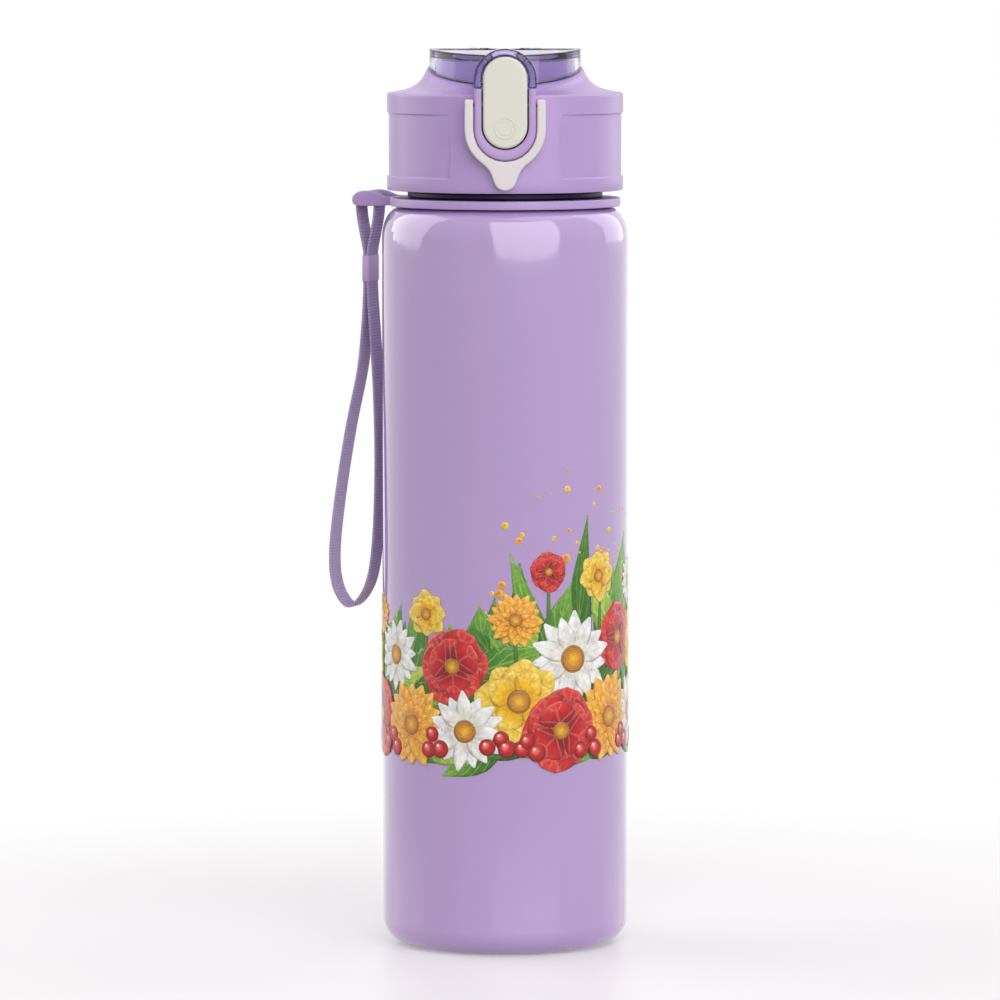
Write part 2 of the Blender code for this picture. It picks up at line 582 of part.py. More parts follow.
def build_shell(material):
    """Outer cap: bands, grip panels, concave shoulder, deck, inner collar, latch housing, hinge ears."""
    inside = CAP_RADIUS - CAP_WALL
    crest = COVER_SEAT_HEIGHT + COVER_RADIUS * math.tan(math.radians(COVER_SEAT_TILT_DEG)) + OVERRUN
    collar_out = COVER_RADIUS - COVER_WALL - RUNNING_GAP
    collar_in = collar_out - INNER_COLLAR_WALL
    collar_middle = (collar_in + collar_out) / 2
    deck_under = DECK_HEIGHT - DECK_THICKNESS
    spout_hole = SPOUT_OUTER_DIAMETER / 2 + RUNNING_GAP
    profile = [(inside, CAP_BOTTOM), (CAP_RADIUS, CAP_BOTTOM), (CAP_RADIUS, CAP_EDGE - CAP_EDGE_ROUND)]
    profile += shoulder_curve()
    profile += [(COVER_RADIUS, crest), (collar_middle, crest), (collar_middle, DECK_HEIGHT), (spout_hole, DECK_HEIGHT)]
    profile += [(spout_hole, deck_under), (inside, deck_under)]
    shell = revolve("cap_shell", profile, material)
    guides = []

    for side in (-1, 1):
        guides.append(grip_cutter(side))
        cut(shell, guides[-1])
    guides.append(tilted_cutter("cut_seat", 0.0))
    cut(shell, guides[-1])
    collar_foot = DECK_HEIGHT - DECK_THICKNESS / 2
    collar_profile = [(collar_in, collar_foot), (collar_out, collar_foot), (collar_out, INNER_COLLAR_TOP_HEIGHT),
                      (collar_in, INNER_COLLAR_TOP_HEIGHT)]
    guides.append(revolve("add_inner_collar", collar_profile))
    join(shell, guides[-1])

    half = HOUSING_WIDTH / 2
    low = PIVOT_HEIGHT - LATCH_HALF_LENGTH
    high = PIVOT_HEIGHT + HOOD_START_ABOVE_PIVOT - GAP
    housing = [(-x, 2 * PIVOT_HEIGHT - z) for x, z in arch_outline(half, 2 * PIVOT_HEIGHT - high,
                                                                    2 * PIVOT_HEIGHT - low)]
    guides.append(prism("add_housing", housing, HOUSING_FRONT, HOUSING_FRONT + HOUSING_PROUD + HOUSING_DEPTH / 2,
                        place_front))
    join(shell, guides[-1])
    pocket = stadium_outline(BUTTON_POCKET_HALF, PIVOT_HEIGHT - BUTTON_BOTTOM_BELOW_PIVOT - RUNNING_GAP,
                             PIVOT_HEIGHT + LATCH_HALF_LENGTH + half)
    guides.append(prism("cut_pocket", pocket, HOUSING_FRONT - OVERRUN, HOUSING_FRONT + BUTTON_POCKET_DEPTH,
                        place_front))
    cut(shell, guides[-1])
    spring_height = PIVOT_HEIGHT - BUTTON_SPRING_BELOW_PIVOT
    seat = disc_outline((0, spring_height), BUTTON_SPRING_RADIUS + BUTTON_SPRING_WIRE / 2 + GAP)
    seat_floor = HOUSING_FRONT + BUTTON_POCKET_DEPTH + BUTTON_SPRING_SEAT_DEPTH
    guides.append(prism("cut_spring_seat", seat, HOUSING_FRONT, seat_floor, place_front))
    cut(shell, guides[-1])
    guides.append(prism("cut_latch_pin", disc_outline((PIN_Y, PIVOT_HEIGHT), PIN_HOLE_RADIUS, SMALL_STEPS // 2),
                        -CAP_RADIUS, CAP_RADIUS, place_side))
    cut(shell, guides[-1])

    ear = knuckle_outline(-HINGE_KNUCKLE_RADIUS)
    for side in (-1, 1):
        edges = sorted((side * HINGE_HALF_WIDTH, side * (HINGE_HALF_WIDTH - HINGE_EAR_WIDTH)))
        guides.append(prism("add_ear_left" if side < 0 else "add_ear_right", ear, edges[0], edges[1], place_side))
        join(shell, guides[-1])
    guides.append(hinge_hole("cut_shell_hinge_pin"))
    cut(shell, guides[-1])
    return shell, guides


def knuckle_outline(foot):
    """An ear round the cover's hinge pin that stands on the cap's shoulder."""
    centre = (HINGE_BACK, HINGE_HEIGHT)
    root = COVER_SEAT_HEIGHT - CAP_WALL * 2
    outline = arc(centre, HINGE_KNUCKLE_RADIUS, HINGE_KNUCKLE_RADIUS, 0, 180, CORNER_STEPS * 2)
    return outline + [(HINGE_BACK + foot, root), (HINGE_BACK - foot, root)]


def hinge_hole(name):
    """The running hole for the cover's hinge pin."""
    outline = disc_outline((HINGE_BACK, HINGE_HEIGHT), HINGE_PIN_RADIUS + GAP, SMALL_STEPS // 2)
    return prism(name, outline, -HINGE_HALF_WIDTH - OVERRUN, HINGE_HALF_WIDTH + OVERRUN, place_side)


def build_liner(material):
    """Inner cup that screws on the neck; its foot flange fills the gap to the shell."""
    outer = LINER_SKIRT_RADIUS
    foot = CAP_RADIUS - CAP_WALL - GAP
    mouth = LINER_MOUTH_DIAMETER / 2
    profile = [(LINER_BORE_RADIUS, LINER_BOTTOM), (foot, LINER_BOTTOM)]
    profile += [(foot, LINER_BOTTOM + LINER_FLANGE_THICKNESS), (outer, LINER_BOTTOM + LINER_FLANGE_THICKNESS)]
    profile += [(outer, LINER_TOP), (mouth, LINER_TOP), (mouth, LINER_TOP_UNDERSIDE)]
    profile += [(LINER_BORE_RADIUS, LINER_TOP_UNDERSIDE)]
    return revolve("cap_liner", profile, material)


def build_gasket(material):
    """Silicone ring between the neck's rim and the liner."""
    inner = GASKET_INNER_DIAMETER / 2
    outer = NECK_RADIUS
    top = GASKET_BOTTOM + GASKET_THICKNESS
    profile = [(inner, GASKET_BOTTOM), (outer, GASKET_BOTTOM), (outer, top), (inner, top)]
    return revolve("cap_gasket", profile, material)


def build_spout(material):
    """Drinking nozzle with a flange that seats on the liner."""
    bottom = LINER_TOP + GAP
    outer = SPOUT_OUTER_DIAMETER / 2
    bore = SPOUT_BORE_DIAMETER / 2
    flange = SPOUT_FLANGE_DIAMETER / 2
    top = SPOUT_TOP_HEIGHT
    profile = [(bore, bottom), (flange, bottom), (flange, bottom + SPOUT_FLANGE_THICKNESS)]
    profile += [(outer, bottom + SPOUT_FLANGE_THICKNESS), (outer, top - SPOUT_LIP_ROUND)]
    profile += arc((outer - SPOUT_LIP_ROUND, top - SPOUT_LIP_ROUND), SPOUT_LIP_ROUND, SPOUT_LIP_ROUND, 0, 90,
                   EDGE_STEPS)[1:]
    profile += [(bore, top)]
    return revolve("spout", profile, material, BODY_STEPS // 2)


def build_cover(material):
    """Clear flip cover: round skirt cut on the tilted seat, hood over the button, catch bar, knuckles."""
    inner = COVER_RADIUS - COVER_WALL
    low = COVER_SEAT_HEIGHT - COVER_RADIUS * math.tan(math.radians(COVER_SEAT_TILT_DEG)) - OVERRUN
    ceiling = COVER_CEILING
    profile = [(0, ceiling), (inner, ceiling), (inner, low), (COVER_RADIUS, low)]
    profile += [(COVER_RADIUS, COVER_TOP_HEIGHT - COVER_TOP_ROUND)]
    profile += arc((COVER_RADIUS - COVER_TOP_ROUND, COVER_TOP_HEIGHT - COVER_TOP_ROUND), COVER_TOP_ROUND,
                   COVER_TOP_ROUND, 0, 90, EDGE_STEPS)[1:]
    profile += [(0, COVER_TOP_HEIGHT)]
    cover = revolve("flip_cover", profile, material)
    guides = []
    guides.append(below_seat_cutter())
    cut(cover, guides[-1])

    half = HOUSING_WIDTH / 2
    hood_low = PIVOT_HEIGHT + HOOD_START_ABOVE_PIVOT
    hood_top = PIVOT_HEIGHT + LATCH_HALF_LENGTH
    guides.append(prism("add_hood", arch_outline(half, hood_low, hood_top), HOUSING_FRONT, -inner, place_front))
    clearance = hood_shoulder_cutter()
    cut(guides[-1], clearance)
    tunnel = arch_outline(BUTTON_POCKET_HALF, hood_low - OVERRUN,
                          PIVOT_HEIGHT + BUTTON_TOP_ABOVE_PIVOT + RUNNING_GAP)
    guides.append(prism("cut_tunnel", tunnel, HOUSING_FRONT - OVERRUN, -COVER_RADIUS, place_front))
    cut(guides[-2], guides[-1])
    join(cover, guides[-2])
    guides.append(clearance)

    catch_top = PIVOT_HEIGHT + HOOK_ABOVE_PIVOT - GAP
    catch_front = PIN_Y + HOOK_REACH - CATCH_GRIP
    catch = box_outline(-BUTTON_POCKET_HALF - COVER_WALL / 2, BUTTON_POCKET_HALF + COVER_WALL / 2,
                        catch_top - CATCH_BAR_HEIGHT, catch_top)
    guides.append(prism("add_catch_bar", catch, catch_front, catch_front + CATCH_BAR_DEPTH, place_front))
    join(cover, guides[-1])

    guides.append(inner_space_cutter(inner, ceiling))
    cut(cover, guides[-1])
    ear_inner = HINGE_HALF_WIDTH - HINGE_EAR_WIDTH - GAP
    knuckle = disc_outline((HINGE_BACK, HINGE_HEIGHT), HINGE_KNUCKLE_RADIUS, SMALL_STEPS)
    web_top = HINGE_HEIGHT + HINGE_KNUCKLE_RADIUS
    seat_back = COVER_SEAT_HEIGHT + COVER_RADIUS * math.tan(math.radians(COVER_SEAT_TILT_DEG))
    web = box_outline(math.sqrt(inner ** 2 - HINGE_HALF_WIDTH ** 2) + COVER_WALL, HINGE_BACK,
                      seat_back + RUNNING_GAP, web_top)
    for side, word in ((-1, "left"), (1, "right")):
        edges = sorted((side * ear_inner, side * (ear_inner - HINGE_KNUCKLE_WIDTH)))
        guides.append(prism("add_knuckle_" + word, knuckle, edges[0], edges[1], place_side))
        join(cover, guides[-1])
        guides.append(prism("add_web_" + word, web, edges[0], edges[1], place_side))
        join(cover, guides[-1])
    guides.append(hinge_hole("cut_cover_hinge_pin"))
    cut(cover, guides[-1])
    return cover, guides


def below_seat_cutter():
    """Everything below the cover's tilted rim, a gap above the cap's seat."""
    rise = math.tan(math.radians(COVER_SEAT_TILT_DEG))
    reach = COVER_RADIUS + OVERRUN
    floor = COVER_SEAT_HEIGHT - CAP_RADIUS
    outline = [(-reach, floor), (reach, floor), (reach, COVER_SEAT_HEIGHT + reach * rise + GAP),
               (-reach, COVER_SEAT_HEIGHT - reach * rise + GAP)]
    return prism("cut_below_seat", outline, -reach, reach, place_side)


def hood_shoulder_cutter():
    """The cap's shoulder grown by a gap, which trims the underside of the hood."""
    grown = [(radius + GAP, height + GAP * 2) for radius, height in shoulder_curve()]
    low = CAP_EDGE - CAP_SHOULDER_RISE
    profile = [(0, low), (grown[0][0], low)] + grown + [(0, grown[-1][1])]
    guide = revolve("cut_hood_shoulder", profile)
    plane = tilted_cutter("cut_hood_seat", GAP)
    cut(guide, plane)
    return guide


def inner_space_cutter(inner, ceiling):
    """Keeps the inside of the cover clear of the hood's root."""
    low = COVER_SEAT_HEIGHT - CAP_SHOULDER_RISE
    return revolve("cut_cover_inside", [(0, low), (inner, low), (inner, ceiling), (0, ceiling)])


def build_cover_seal(material):
    """Silicone cap under the cover that closes on the spout."""
    ceiling = COVER_CEILING - GAP
    pad_low = SPOUT_TOP_HEIGHT + GAP
    hole = SPOUT_OUTER_DIAMETER / 2 + RUNNING_GAP
    outer = hole + SEAL_RIM_WALL
    profile = [(0, pad_low), (hole, pad_low), (hole, pad_low - SEAL_RIM_DEPTH), (outer, pad_low - SEAL_RIM_DEPTH)]
    profile += [(outer, ceiling), (0, ceiling)]
    return revolve("cover_seal", profile, material, BODY_STEPS // 2)


def build_button(material):
    """Pill-shaped rocker: plate, pivot barrel across its back, and a hook over the catch bar."""
    low = PIVOT_HEIGHT - BUTTON_BOTTOM_BELOW_PIVOT
    high = PIVOT_HEIGHT + BUTTON_TOP_ABOVE_PIVOT
    front = HOUSING_FRONT - BUTTON_PROUD
    back = front + BUTTON_THICKNESS
    half = BUTTON_WIDTH / 2
    button = prism("release_button", stadium_outline(half, low, high), front, back, place_front, material)
    round_edges(button, BUTTON_EDGE_ROUND)
    guides = []
    barrel_half = half - GAP
    guides.append(prism("add_button_barrel", disc_outline((PIN_Y, PIVOT_HEIGHT), BUTTON_BARREL_RADIUS),
                        -barrel_half, barrel_half, place_side))
    join(button, guides[-1])
    hook_low = PIVOT_HEIGHT + HOOK_ABOVE_PIVOT
    hook_back = PIN_Y + HOOK_REACH
    nose = HOOK_THICKNESS / 2
    hook = [(back - GAP, hook_low), (hook_back, hook_low), (hook_back, hook_low + nose),
            (hook_back - nose, hook_low + HOOK_THICKNESS), (back - GAP, hook_low + HOOK_THICKNESS)]
    guides.append(prism("add_hook", hook, -HOOK_WIDTH / 2, HOOK_WIDTH / 2, place_side))
    join(button, guides[-1])
    guides.append(prism("cut_button_pin", disc_outline((PIN_Y, PIVOT_HEIGHT), PIN_HOLE_RADIUS, SMALL_STEPS // 2),
                        -HOUSING_WIDTH, HOUSING_WIDTH, place_side))
    cut(button, guides[-1])
    dimple_height = PIVOT_HEIGHT - BUTTON_DIMPLE_BELOW_PIVOT
    dimple = revolve("cut_dimple", [(0, -BUTTON_DIMPLE_DEPTH), (BUTTON_DIMPLE_DIAMETER / 2, OVERRUN / 4),
                                    (0, OVERRUN / 4)], None, SMALL_STEPS)
    dimple.data.transform(Matrix.Rotation(math.radians(90), 4, "X"))
    dimple.location = (0, front, dimple_height)
    guides.append(dimple)
    cut(button, dimple)
    return button, guides


def build_button_spring(material):
    """Small compression spring behind the lower half of the button."""
    back = HOUSING_FRONT - BUTTON_PROUD + BUTTON_THICKNESS
    floor = HOUSING_FRONT + BUTTON_POCKET_DEPTH + BUTTON_SPRING_SEAT_DEPTH
    wire = BUTTON_SPRING_WIRE / 2
    start = back + wire + GAP / 2
    end = floor - wire - GAP / 2
    height = PIVOT_HEIGHT - BUTTON_SPRING_BELOW_PIVOT
    steps = SPRING_STEPS_PER_TURN * BUTTON_SPRING_TURNS
    points = []
    for step in range(steps + 1):
        angle = 2 * math.pi * BUTTON_SPRING_TURNS * step / steps
        points.append(Vector((BUTTON_SPRING_RADIUS * math.cos(angle), start + (end - start) * step / steps,
                              height + BUTTON_SPRING_RADIUS * math.sin(angle))))
    return tube("button_spring", points, wire, SPRING_WIRE_SIDES, material)


def build_latch_pin(material):
    """Steel pin through housing, button and bail."""
    half = HOUSING_WIDTH / 2 + BAIL_SIDE_GAP + BAIL_ARM_WIDTH - GAP
    outline = disc_outline((PIN_Y, PIVOT_HEIGHT), PIN_RADIUS, SMALL_STEPS // 2)
    return prism("latch_pin", outline, -half, half, place_side, material)


def bail_outline():
    """The bail hanging down: two arms, a round bend and a finger tab with a round tip."""
    inner = HOUSING_WIDTH / 2 + BAIL_SIDE_GAP
    outer = inner + BAIL_ARM_WIDTH
    top = PIVOT_HEIGHT + BAIL_END_ABOVE_PIVOT
    bend = PIVOT_HEIGHT - LATCH_HALF_LENGTH - RUNNING_GAP
    centre = (0, bend + inner)
    steps = CORNER_STEPS
    flare = math.radians(BAIL_FLARE_DEG)
    taper = math.radians(BAIL_TIP_TAPER_DEG)
    right = arc(centre, outer, outer, 0, BAIL_FLARE_DEG - 90, steps)
    start = Vector(right[-1])
    tip_centre = Vector((0, bend - BAIL_TAB_LENGTH + BAIL_TAB_TIP_RADIUS))
    tip = arc(tip_centre, BAIL_TAB_TIP_RADIUS, BAIL_TAB_TIP_RADIUS, -BAIL_TIP_TAPER_DEG, -90, steps)
    end = Vector(tip[0])
    leave = Vector((-math.cos(flare), -math.sin(flare)))
    arrive = Vector((math.sin(taper), math.cos(taper)))
    reach = (end - start).length / 2
    hold_out = start + leave * reach
    hold_in = end + arrive * reach
    side = []
    for step in range(1, steps):
        t = step / steps
        side.append(start * (1 - t) ** 3 + hold_out * 3 * t * (1 - t) ** 2 + hold_in * 3 * t * t * (1 - t)
                    + end * t ** 3)
    half = [(outer, top)] + right + [tuple(point) for point in side] + tip
    left = [(-x, z) for x, z in reversed(half[:-1])]
    inside = [(-inner, top)] + arc(centre, inner, inner, 180, 360, steps * 2) + [(inner, top)]
    return half + left + inside


def build_bail(material):
    """Flat lock bail moulded round the latch housing."""
    bail = prism("lock_bail", bail_outline(), HOUSING_FRONT, HOUSING_FRONT + BAIL_THICKNESS, place_front, material)
    round_edges(bail, BAIL_EDGE_ROUND, SMALL_EDGE_STEPS)
    half = CAP_RADIUS
    hole = prism("cut_bail_pin", disc_outline((PIN_Y, PIVOT_HEIGHT), PIN_HOLE_RADIUS, SMALL_STEPS // 2), -half, half,
                 place_side)
    cut(bail, hole)
    return bail, hole


def build_cover_pin(material):
    """Steel hinge pin at the back of the cover."""
    half = HINGE_HALF_WIDTH - GAP
    outline = disc_outline((HINGE_BACK, HINGE_HEIGHT), HINGE_PIN_RADIUS, SMALL_STEPS // 2)
    return prism("cover_hinge_pin", outline, -half, half, place_side, material)


def build_cover_spring(material):
    """Torsion spring round the hinge pin, one leg on the cap and one under the cover's rim."""
    wire = COVER_SPRING_WIRE / 2
    radius = HINGE_PIN_RADIUS + GAP + wire
    half = HINGE_HALF_WIDTH - HINGE_EAR_WIDTH - GAP - HINGE_KNUCKLE_WIDTH - GAP - wire
    steps = SPRING_STEPS_PER_TURN * COVER_SPRING_TURNS
    points = []
    for step in range(steps + 1):
        share = step / steps
        angle = math.pi + 2 * math.pi * COVER_SPRING_TURNS * share
        points.append(Vector((-half + 2 * half * share, HINGE_BACK + radius * math.cos(angle),
                              HINGE_HEIGHT + radius * math.sin(angle))))
    first = points[0] + Vector((0, 0, -COVER_SPRING_LEG / 2))
    last = points[-1] + Vector((0, 0, -COVER_SPRING_LEG / 2))
    return tube("cover_spring", [first] + points + [last], wire, SPRING_WIRE_SIDES, material)


def hang_under(empty, items):
    """Parent pieces and their guides to an empty without moving them."""
    for item in items:
        item.parent = empty


def build():
    clear_scene()
    lavender = plastic("lavender_gloss", (0.46, 0.32, 0.58), 0.18)
    satin = plastic("lavender_satin", (0.46, 0.34, 0.59), 0.32)
    strap = plastic("lavender_webbing", (0.30, 0.20, 0.40), 0.8)
    clear = plastic("clear_violet", (0.72, 0.62, 0.9), 0.05, transmission=0.9)
    ivory = plastic("ivory_gloss", (0.76, 0.73, 0.66), 0.28)
    steel = plastic("stainless_steel", (0.6, 0.6, 0.62), 0.25, metallic=1.0)
    silicone = plastic("silicone", (0.80, 0.78, 0.80), 0.6)
    inner = plastic("liner_plastic", (0.55, 0.48, 0.66), 0.4)

    build_body(lavender)
    turn = bpy.data.objects.new("ring_turn", None)
    bpy.context.scene.collection.objects.link(turn)
    ring, ring_guides = build_ring(satin)
    webbing = build_webbing(strap)
    keeper, keeper_hole = build_keeper(satin)
    bar = (-BAR_OUT, 0, BAR_HEIGHT)
    for item in (webbing, keeper, keeper_hole):
        set_origin(item, bar)
    hang_under(turn, [ring, webbing, keeper, keeper_hole] + ring_guides)
    turn.rotation_euler = (0, 0, -math.radians(LUG_TURN_DEG))

    build_shell(satin)
    build_liner(inner)
    build_gasket(silicone)
    build_spout(inner)
    cover, cover_guides = build_cover(clear)
    seal = build_cover_seal(silicone)
    hinge = (0, HINGE_BACK, HINGE_HEIGHT)
    set_origin(cover, hinge)
    set_origin(seal, hinge)
    build_cover_pin(steel)
    build_cover_spring(steel)
    button, _ = build_button(ivory)
    set_origin(button, (0, PIN_Y, PIVOT_HEIGHT))
    build_button_spring(steel)
    build_latch_pin(steel)
    bail, _ = build_bail(ivory)
    set_origin(bail, (0, PIN_Y, PIVOT_HEIGHT))


build()
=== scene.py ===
import itertools
import math

import bmesh
import bpy
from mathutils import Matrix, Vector


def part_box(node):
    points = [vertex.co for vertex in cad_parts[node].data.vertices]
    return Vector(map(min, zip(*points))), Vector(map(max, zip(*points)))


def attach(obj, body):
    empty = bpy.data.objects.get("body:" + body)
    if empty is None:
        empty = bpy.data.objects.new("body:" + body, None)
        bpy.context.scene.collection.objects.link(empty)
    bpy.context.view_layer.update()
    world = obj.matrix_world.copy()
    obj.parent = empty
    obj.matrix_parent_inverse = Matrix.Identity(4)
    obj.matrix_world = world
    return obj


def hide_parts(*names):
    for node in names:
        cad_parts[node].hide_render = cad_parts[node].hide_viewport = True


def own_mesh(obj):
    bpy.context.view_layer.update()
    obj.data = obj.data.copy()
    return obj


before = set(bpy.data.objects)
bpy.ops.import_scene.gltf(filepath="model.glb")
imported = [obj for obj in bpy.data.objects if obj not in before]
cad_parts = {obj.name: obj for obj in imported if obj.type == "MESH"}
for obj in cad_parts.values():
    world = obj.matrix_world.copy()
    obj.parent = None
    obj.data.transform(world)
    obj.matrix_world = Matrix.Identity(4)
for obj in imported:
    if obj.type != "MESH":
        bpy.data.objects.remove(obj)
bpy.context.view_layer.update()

mm = 0.001


# Camera
# The photograph looks at the bottle from the front and a little above, from about two metres,
# so its sides run almost parallel.
camera_distance = 1950 * mm
camera_height = 300 * mm
aim_height = 132.2 * mm
aim_left_of_axis = 1.5 * mm
focal_pixels = 6570
photo_pixels = 1000

camera_data = bpy.data.cameras.new("camera")
camera_data.sensor_width = 36.0
camera_data.lens = camera_data.sensor_width * focal_pixels / photo_pixels
camera_data.clip_start = 0.05
camera = bpy.data.objects.new("camera", camera_data)
camera.location = (-aim_left_of_axis, -camera_distance, camera_height)
aim = Vector((-aim_left_of_axis, 0, aim_height))
camera.rotation_euler = (aim - camera.location).to_track_quat("-Z", "Y").to_euler()
bpy.context.scene.collection.objects.link(camera)
bpy.context.scene.camera = camera
bpy.context.scene.view_settings.view_transform = "Standard"


# Table and background
# A white studio sweep. Close to the bottle it is a smooth painted board that takes the soft contact shadow
# and a faint reflection; its faint pink tint there is a painted lavender glow from the bottle. Further out
# it fades into plain white.
def linear(hex_colour):
    """An sRGB hex colour as linear red, green, blue and alpha."""
    channels = [int(hex_colour[i:i + 2], 16) / 255 for i in (1, 3, 5)]
    return [c / 12.92 if c <= 0.04045 else ((c + 0.055) / 1.055) ** 2.4 for c in channels] + [1.0]


def add_node(tree, kind, settings=None, links=None):
    """Add a node; settings are its fields or input values, links its inputs from (node, output)."""
    node = tree.nodes.new("ShaderNode" + kind)
    for name, value in (settings or {}).items():
        if isinstance(name, str) and hasattr(node, name):
            setattr(node, name, value)
        else:
            node.inputs[name].default_value = value
    for name, (source, output) in (links or {}).items():
        tree.links.new(source.outputs[output], node.inputs[name])
    return node


def start_material(name):
    """A new material, its node tree and the node of its coordinates."""
    material = bpy.data.materials.new(name)
    material.use_nodes = True
    material.node_tree.nodes.clear()
    return material, material.node_tree, add_node(material.node_tree, "TexCoord")


def add_piece(name, bm, materials):
    """Turn a bmesh into a named smooth object in the scene, faces outwards, with its materials."""
    bmesh.ops.recalc_face_normals(bm, faces=bm.faces)
    mesh = bpy.data.meshes.new(name)
    bm.to_mesh(mesh)
    bm.free()
    for face in mesh.polygons:
        face.use_smooth = True
    for material in materials:
        mesh.materials.append(material)
    piece = bpy.data.objects.new(name, mesh)
    bpy.context.scene.collection.objects.link(piece)
    return piece


floor_size = 6.0
painted_reach = 110 * mm
white_from = 330 * mm

board_with_painted_glow, tree, place = start_material("white_board_painted_pink_glow")
reach = add_node(tree, "VectorMath", {"operation": "LENGTH"}, {0: (place, "Object")})
fade = add_node(tree, "MapRange", {"interpolation_type": "SMOOTHSTEP", "From Min": painted_reach,
                                   "From Max": white_from, "To Min": 0.3}, {"Value": (reach, "Value")})
# Painted light: the board's faint pink stands in for lavender glow thrown by the bottle.
paint = add_node(tree, "BsdfPrincipled",
                 {"Base Color": linear("#F4EDF2"), "Roughness": 0.3, "Specular IOR Level": 0.4})
rays = add_node(tree, "LightPath")
unseen = add_node(tree, "MapRange", {"To Min": 1.0, "To Max": 0.15}, {"Value": (rays, "Is Diffuse Ray")})
plain = add_node(tree, "Emission", {"Color": linear("#FFFFFF")}, {"Strength": (unseen, "Result")})
mixed = add_node(tree, "MixShader", None, {0: (fade, "Result"), 1: (paint, 0), 2: (plain, 0)})
add_node(tree, "OutputMaterial", None, {0: (mixed, 0)})
bm = bmesh.new()
bmesh.ops.create_grid(bm, x_segments=1, y_segments=1, size=floor_size / 2)
floor = add_piece("floor", bm, [board_with_painted_glow])

world = bpy.data.worlds.new("studio")
bpy.context.scene.world = world
world.use_nodes = True
tree = world.node_tree
tree.nodes.clear()
rays = add_node(tree, "LightPath")
direct = add_node(tree, "Math", {"operation": "MAXIMUM"},
                  {0: (rays, "Is Camera Ray"), 1: (rays, "Is Transmission Ray")})
mirrored = add_node(tree, "Math", {"operation": "MAXIMUM"}, {0: (direct, 0), 1: (rays, "Is Glossy Ray")})
fill = add_node(tree, "Background", {"Color": linear("#FFFFFF"), "Strength": 0.15})
white = add_node(tree, "Background", {"Color": linear("#FFFFFF"), "Strength": 1.0})
mixed = add_node(tree, "MixShader", None, {0: (mirrored, 0), 1: (fill, 0), 2: (white, 0)})
add_node(tree, "OutputWorld", None, {0: (mixed, 0)})


# Softboxes
# Three tall softboxes stand round the bottle, each stacked from strips that widen upwards, so the
# glossy shoulder shows them as pale windows with rounded lower corners. Two dim fills that gloss
# doesn't mirror light the sides, and a round softbox hangs above.
softbox_distance = 1300 * mm
softbox_top = 1900 * mm
panels_per_strip = 3
# Side, radiance, mirrored in gloss or not, and the strips: bottom in mm, start and end azimuth
softboxes = (
    ("front", 2.45, True, ((142.6, 6, 32), (143.8, -4, 42), (145.0, -8, 48), (147, -10, 50.5),
                           (151, -11, 52), (480, -13, 53), (800, -15, 55), (1300, -18, 58))),
    ("left", 1.65, True, ((147.6, -103, -88), (148.5, -111, -86), (149.6, -121, -84), (151, -129, -83),
                          (310, -135, -81), (480, -138, -79), (1300, -139, -76))),
    ("right", 1.05, True, ((150.0, 108, 142), (151.5, 107, 145), (800, 105, 146))),
    ("left_fill", 0.35, False, ((151, -150, -60),)),
    ("right_fill", 0.45, False, ((151, 62, 105),)),
)

for side, radiance, mirrored_in_gloss, strips in softboxes:
    for strip, (bottom, start_deg, end_deg) in enumerate(strips):
        strip_bottom = bottom * mm
        strip_top = strips[strip + 1][0] * mm if strip + 1 < len(strips) else softbox_top
        step_deg = (end_deg - start_deg) / panels_per_strip
        for panel in range(panels_per_strip):
            azimuth = math.radians(start_deg + (panel + 0.5) * step_deg)
            data = bpy.data.lights.new("softbox_%s_%d_%d" % (side, strip, panel), "AREA")
            data.shape = "RECTANGLE"
            data.size = 2 * softbox_distance * math.tan(math.radians(step_deg / 2))
            data.size_y = strip_top - strip_bottom
            data.energy = radiance * math.pi * data.size * data.size_y
            lamp = bpy.data.objects.new(data.name, data)
            lamp.location = (softbox_distance * math.sin(azimuth), -softbox_distance * math.cos(azimuth),
                             (strip_top + strip_bottom) / 2)
            inward = Vector((-lamp.location.x, -lamp.location.y, 0))
            lamp.rotation_euler = inward.to_track_quat("-Z", "Y").to_euler()
            lamp.visible_camera = False
            lamp.visible_transmission = False
            lamp.visible_glossy = mirrored_in_gloss
            bpy.context.scene.collection.objects.link(lamp)

overhead_width, overhead_radiance = 1500 * mm, 0.8
overhead = bpy.data.lights.new("softbox_overhead", "AREA")
overhead.shape = "DISK"
overhead.size = overhead_width
overhead.energy = overhead_radiance * math.pi * math.pi * overhead.size ** 2 / 4
lamp = bpy.data.objects.new("softbox_overhead", overhead)
lamp.location = (400 * mm, 0, 1500 * mm)
lamp.visible_camera = False
lamp.visible_transmission = False
bpy.context.scene.collection.objects.link(lamp)


# Bottle body
# One blow-moulded shell, painted outside in a glossy lavender that stops under the neck; the neck and
# the inside are bare violet-tinted plastic, darkened to near-black violet as painted shade for the gap
# under the cap.
body_radius = 36.5 * mm
body_height = 219.6 * mm
wall, floor_wall = 1.8 * mm, 3 * mm
base_corner = 7.5 * mm
shoulder_in, shoulder_up = 5.5 * mm, 9.0 * mm
neck_radius = 27.2 * mm
bore_radius = 25.0 * mm
groove_radius = 28.2 * mm
bead_radius, bead_bottom, bead_top = 28.9 * mm, 222.7 * mm, 224.4 * mm
neck_top = 239.0 * mm
around = 192
# The moulded foot from the middle outwards: a sunk centre and a shallow groove, in mm
foot_line = [(0, 0.45), (2.2, 0.45), (2.6, 0), (13, 0), (14.5, 1.2), (21.5, 1.2), (23, 0)]


def arc_points(centre, width, height, start_deg, end_deg, steps):
    """Points on an ellipse's arc, both ends included."""
    angles = [math.radians(start_deg + (end_deg - start_deg) * k / steps) for k in range(steps + 1)]
    return [(centre[0] + width * math.cos(a), centre[1] + height * math.sin(a)) for a in angles]


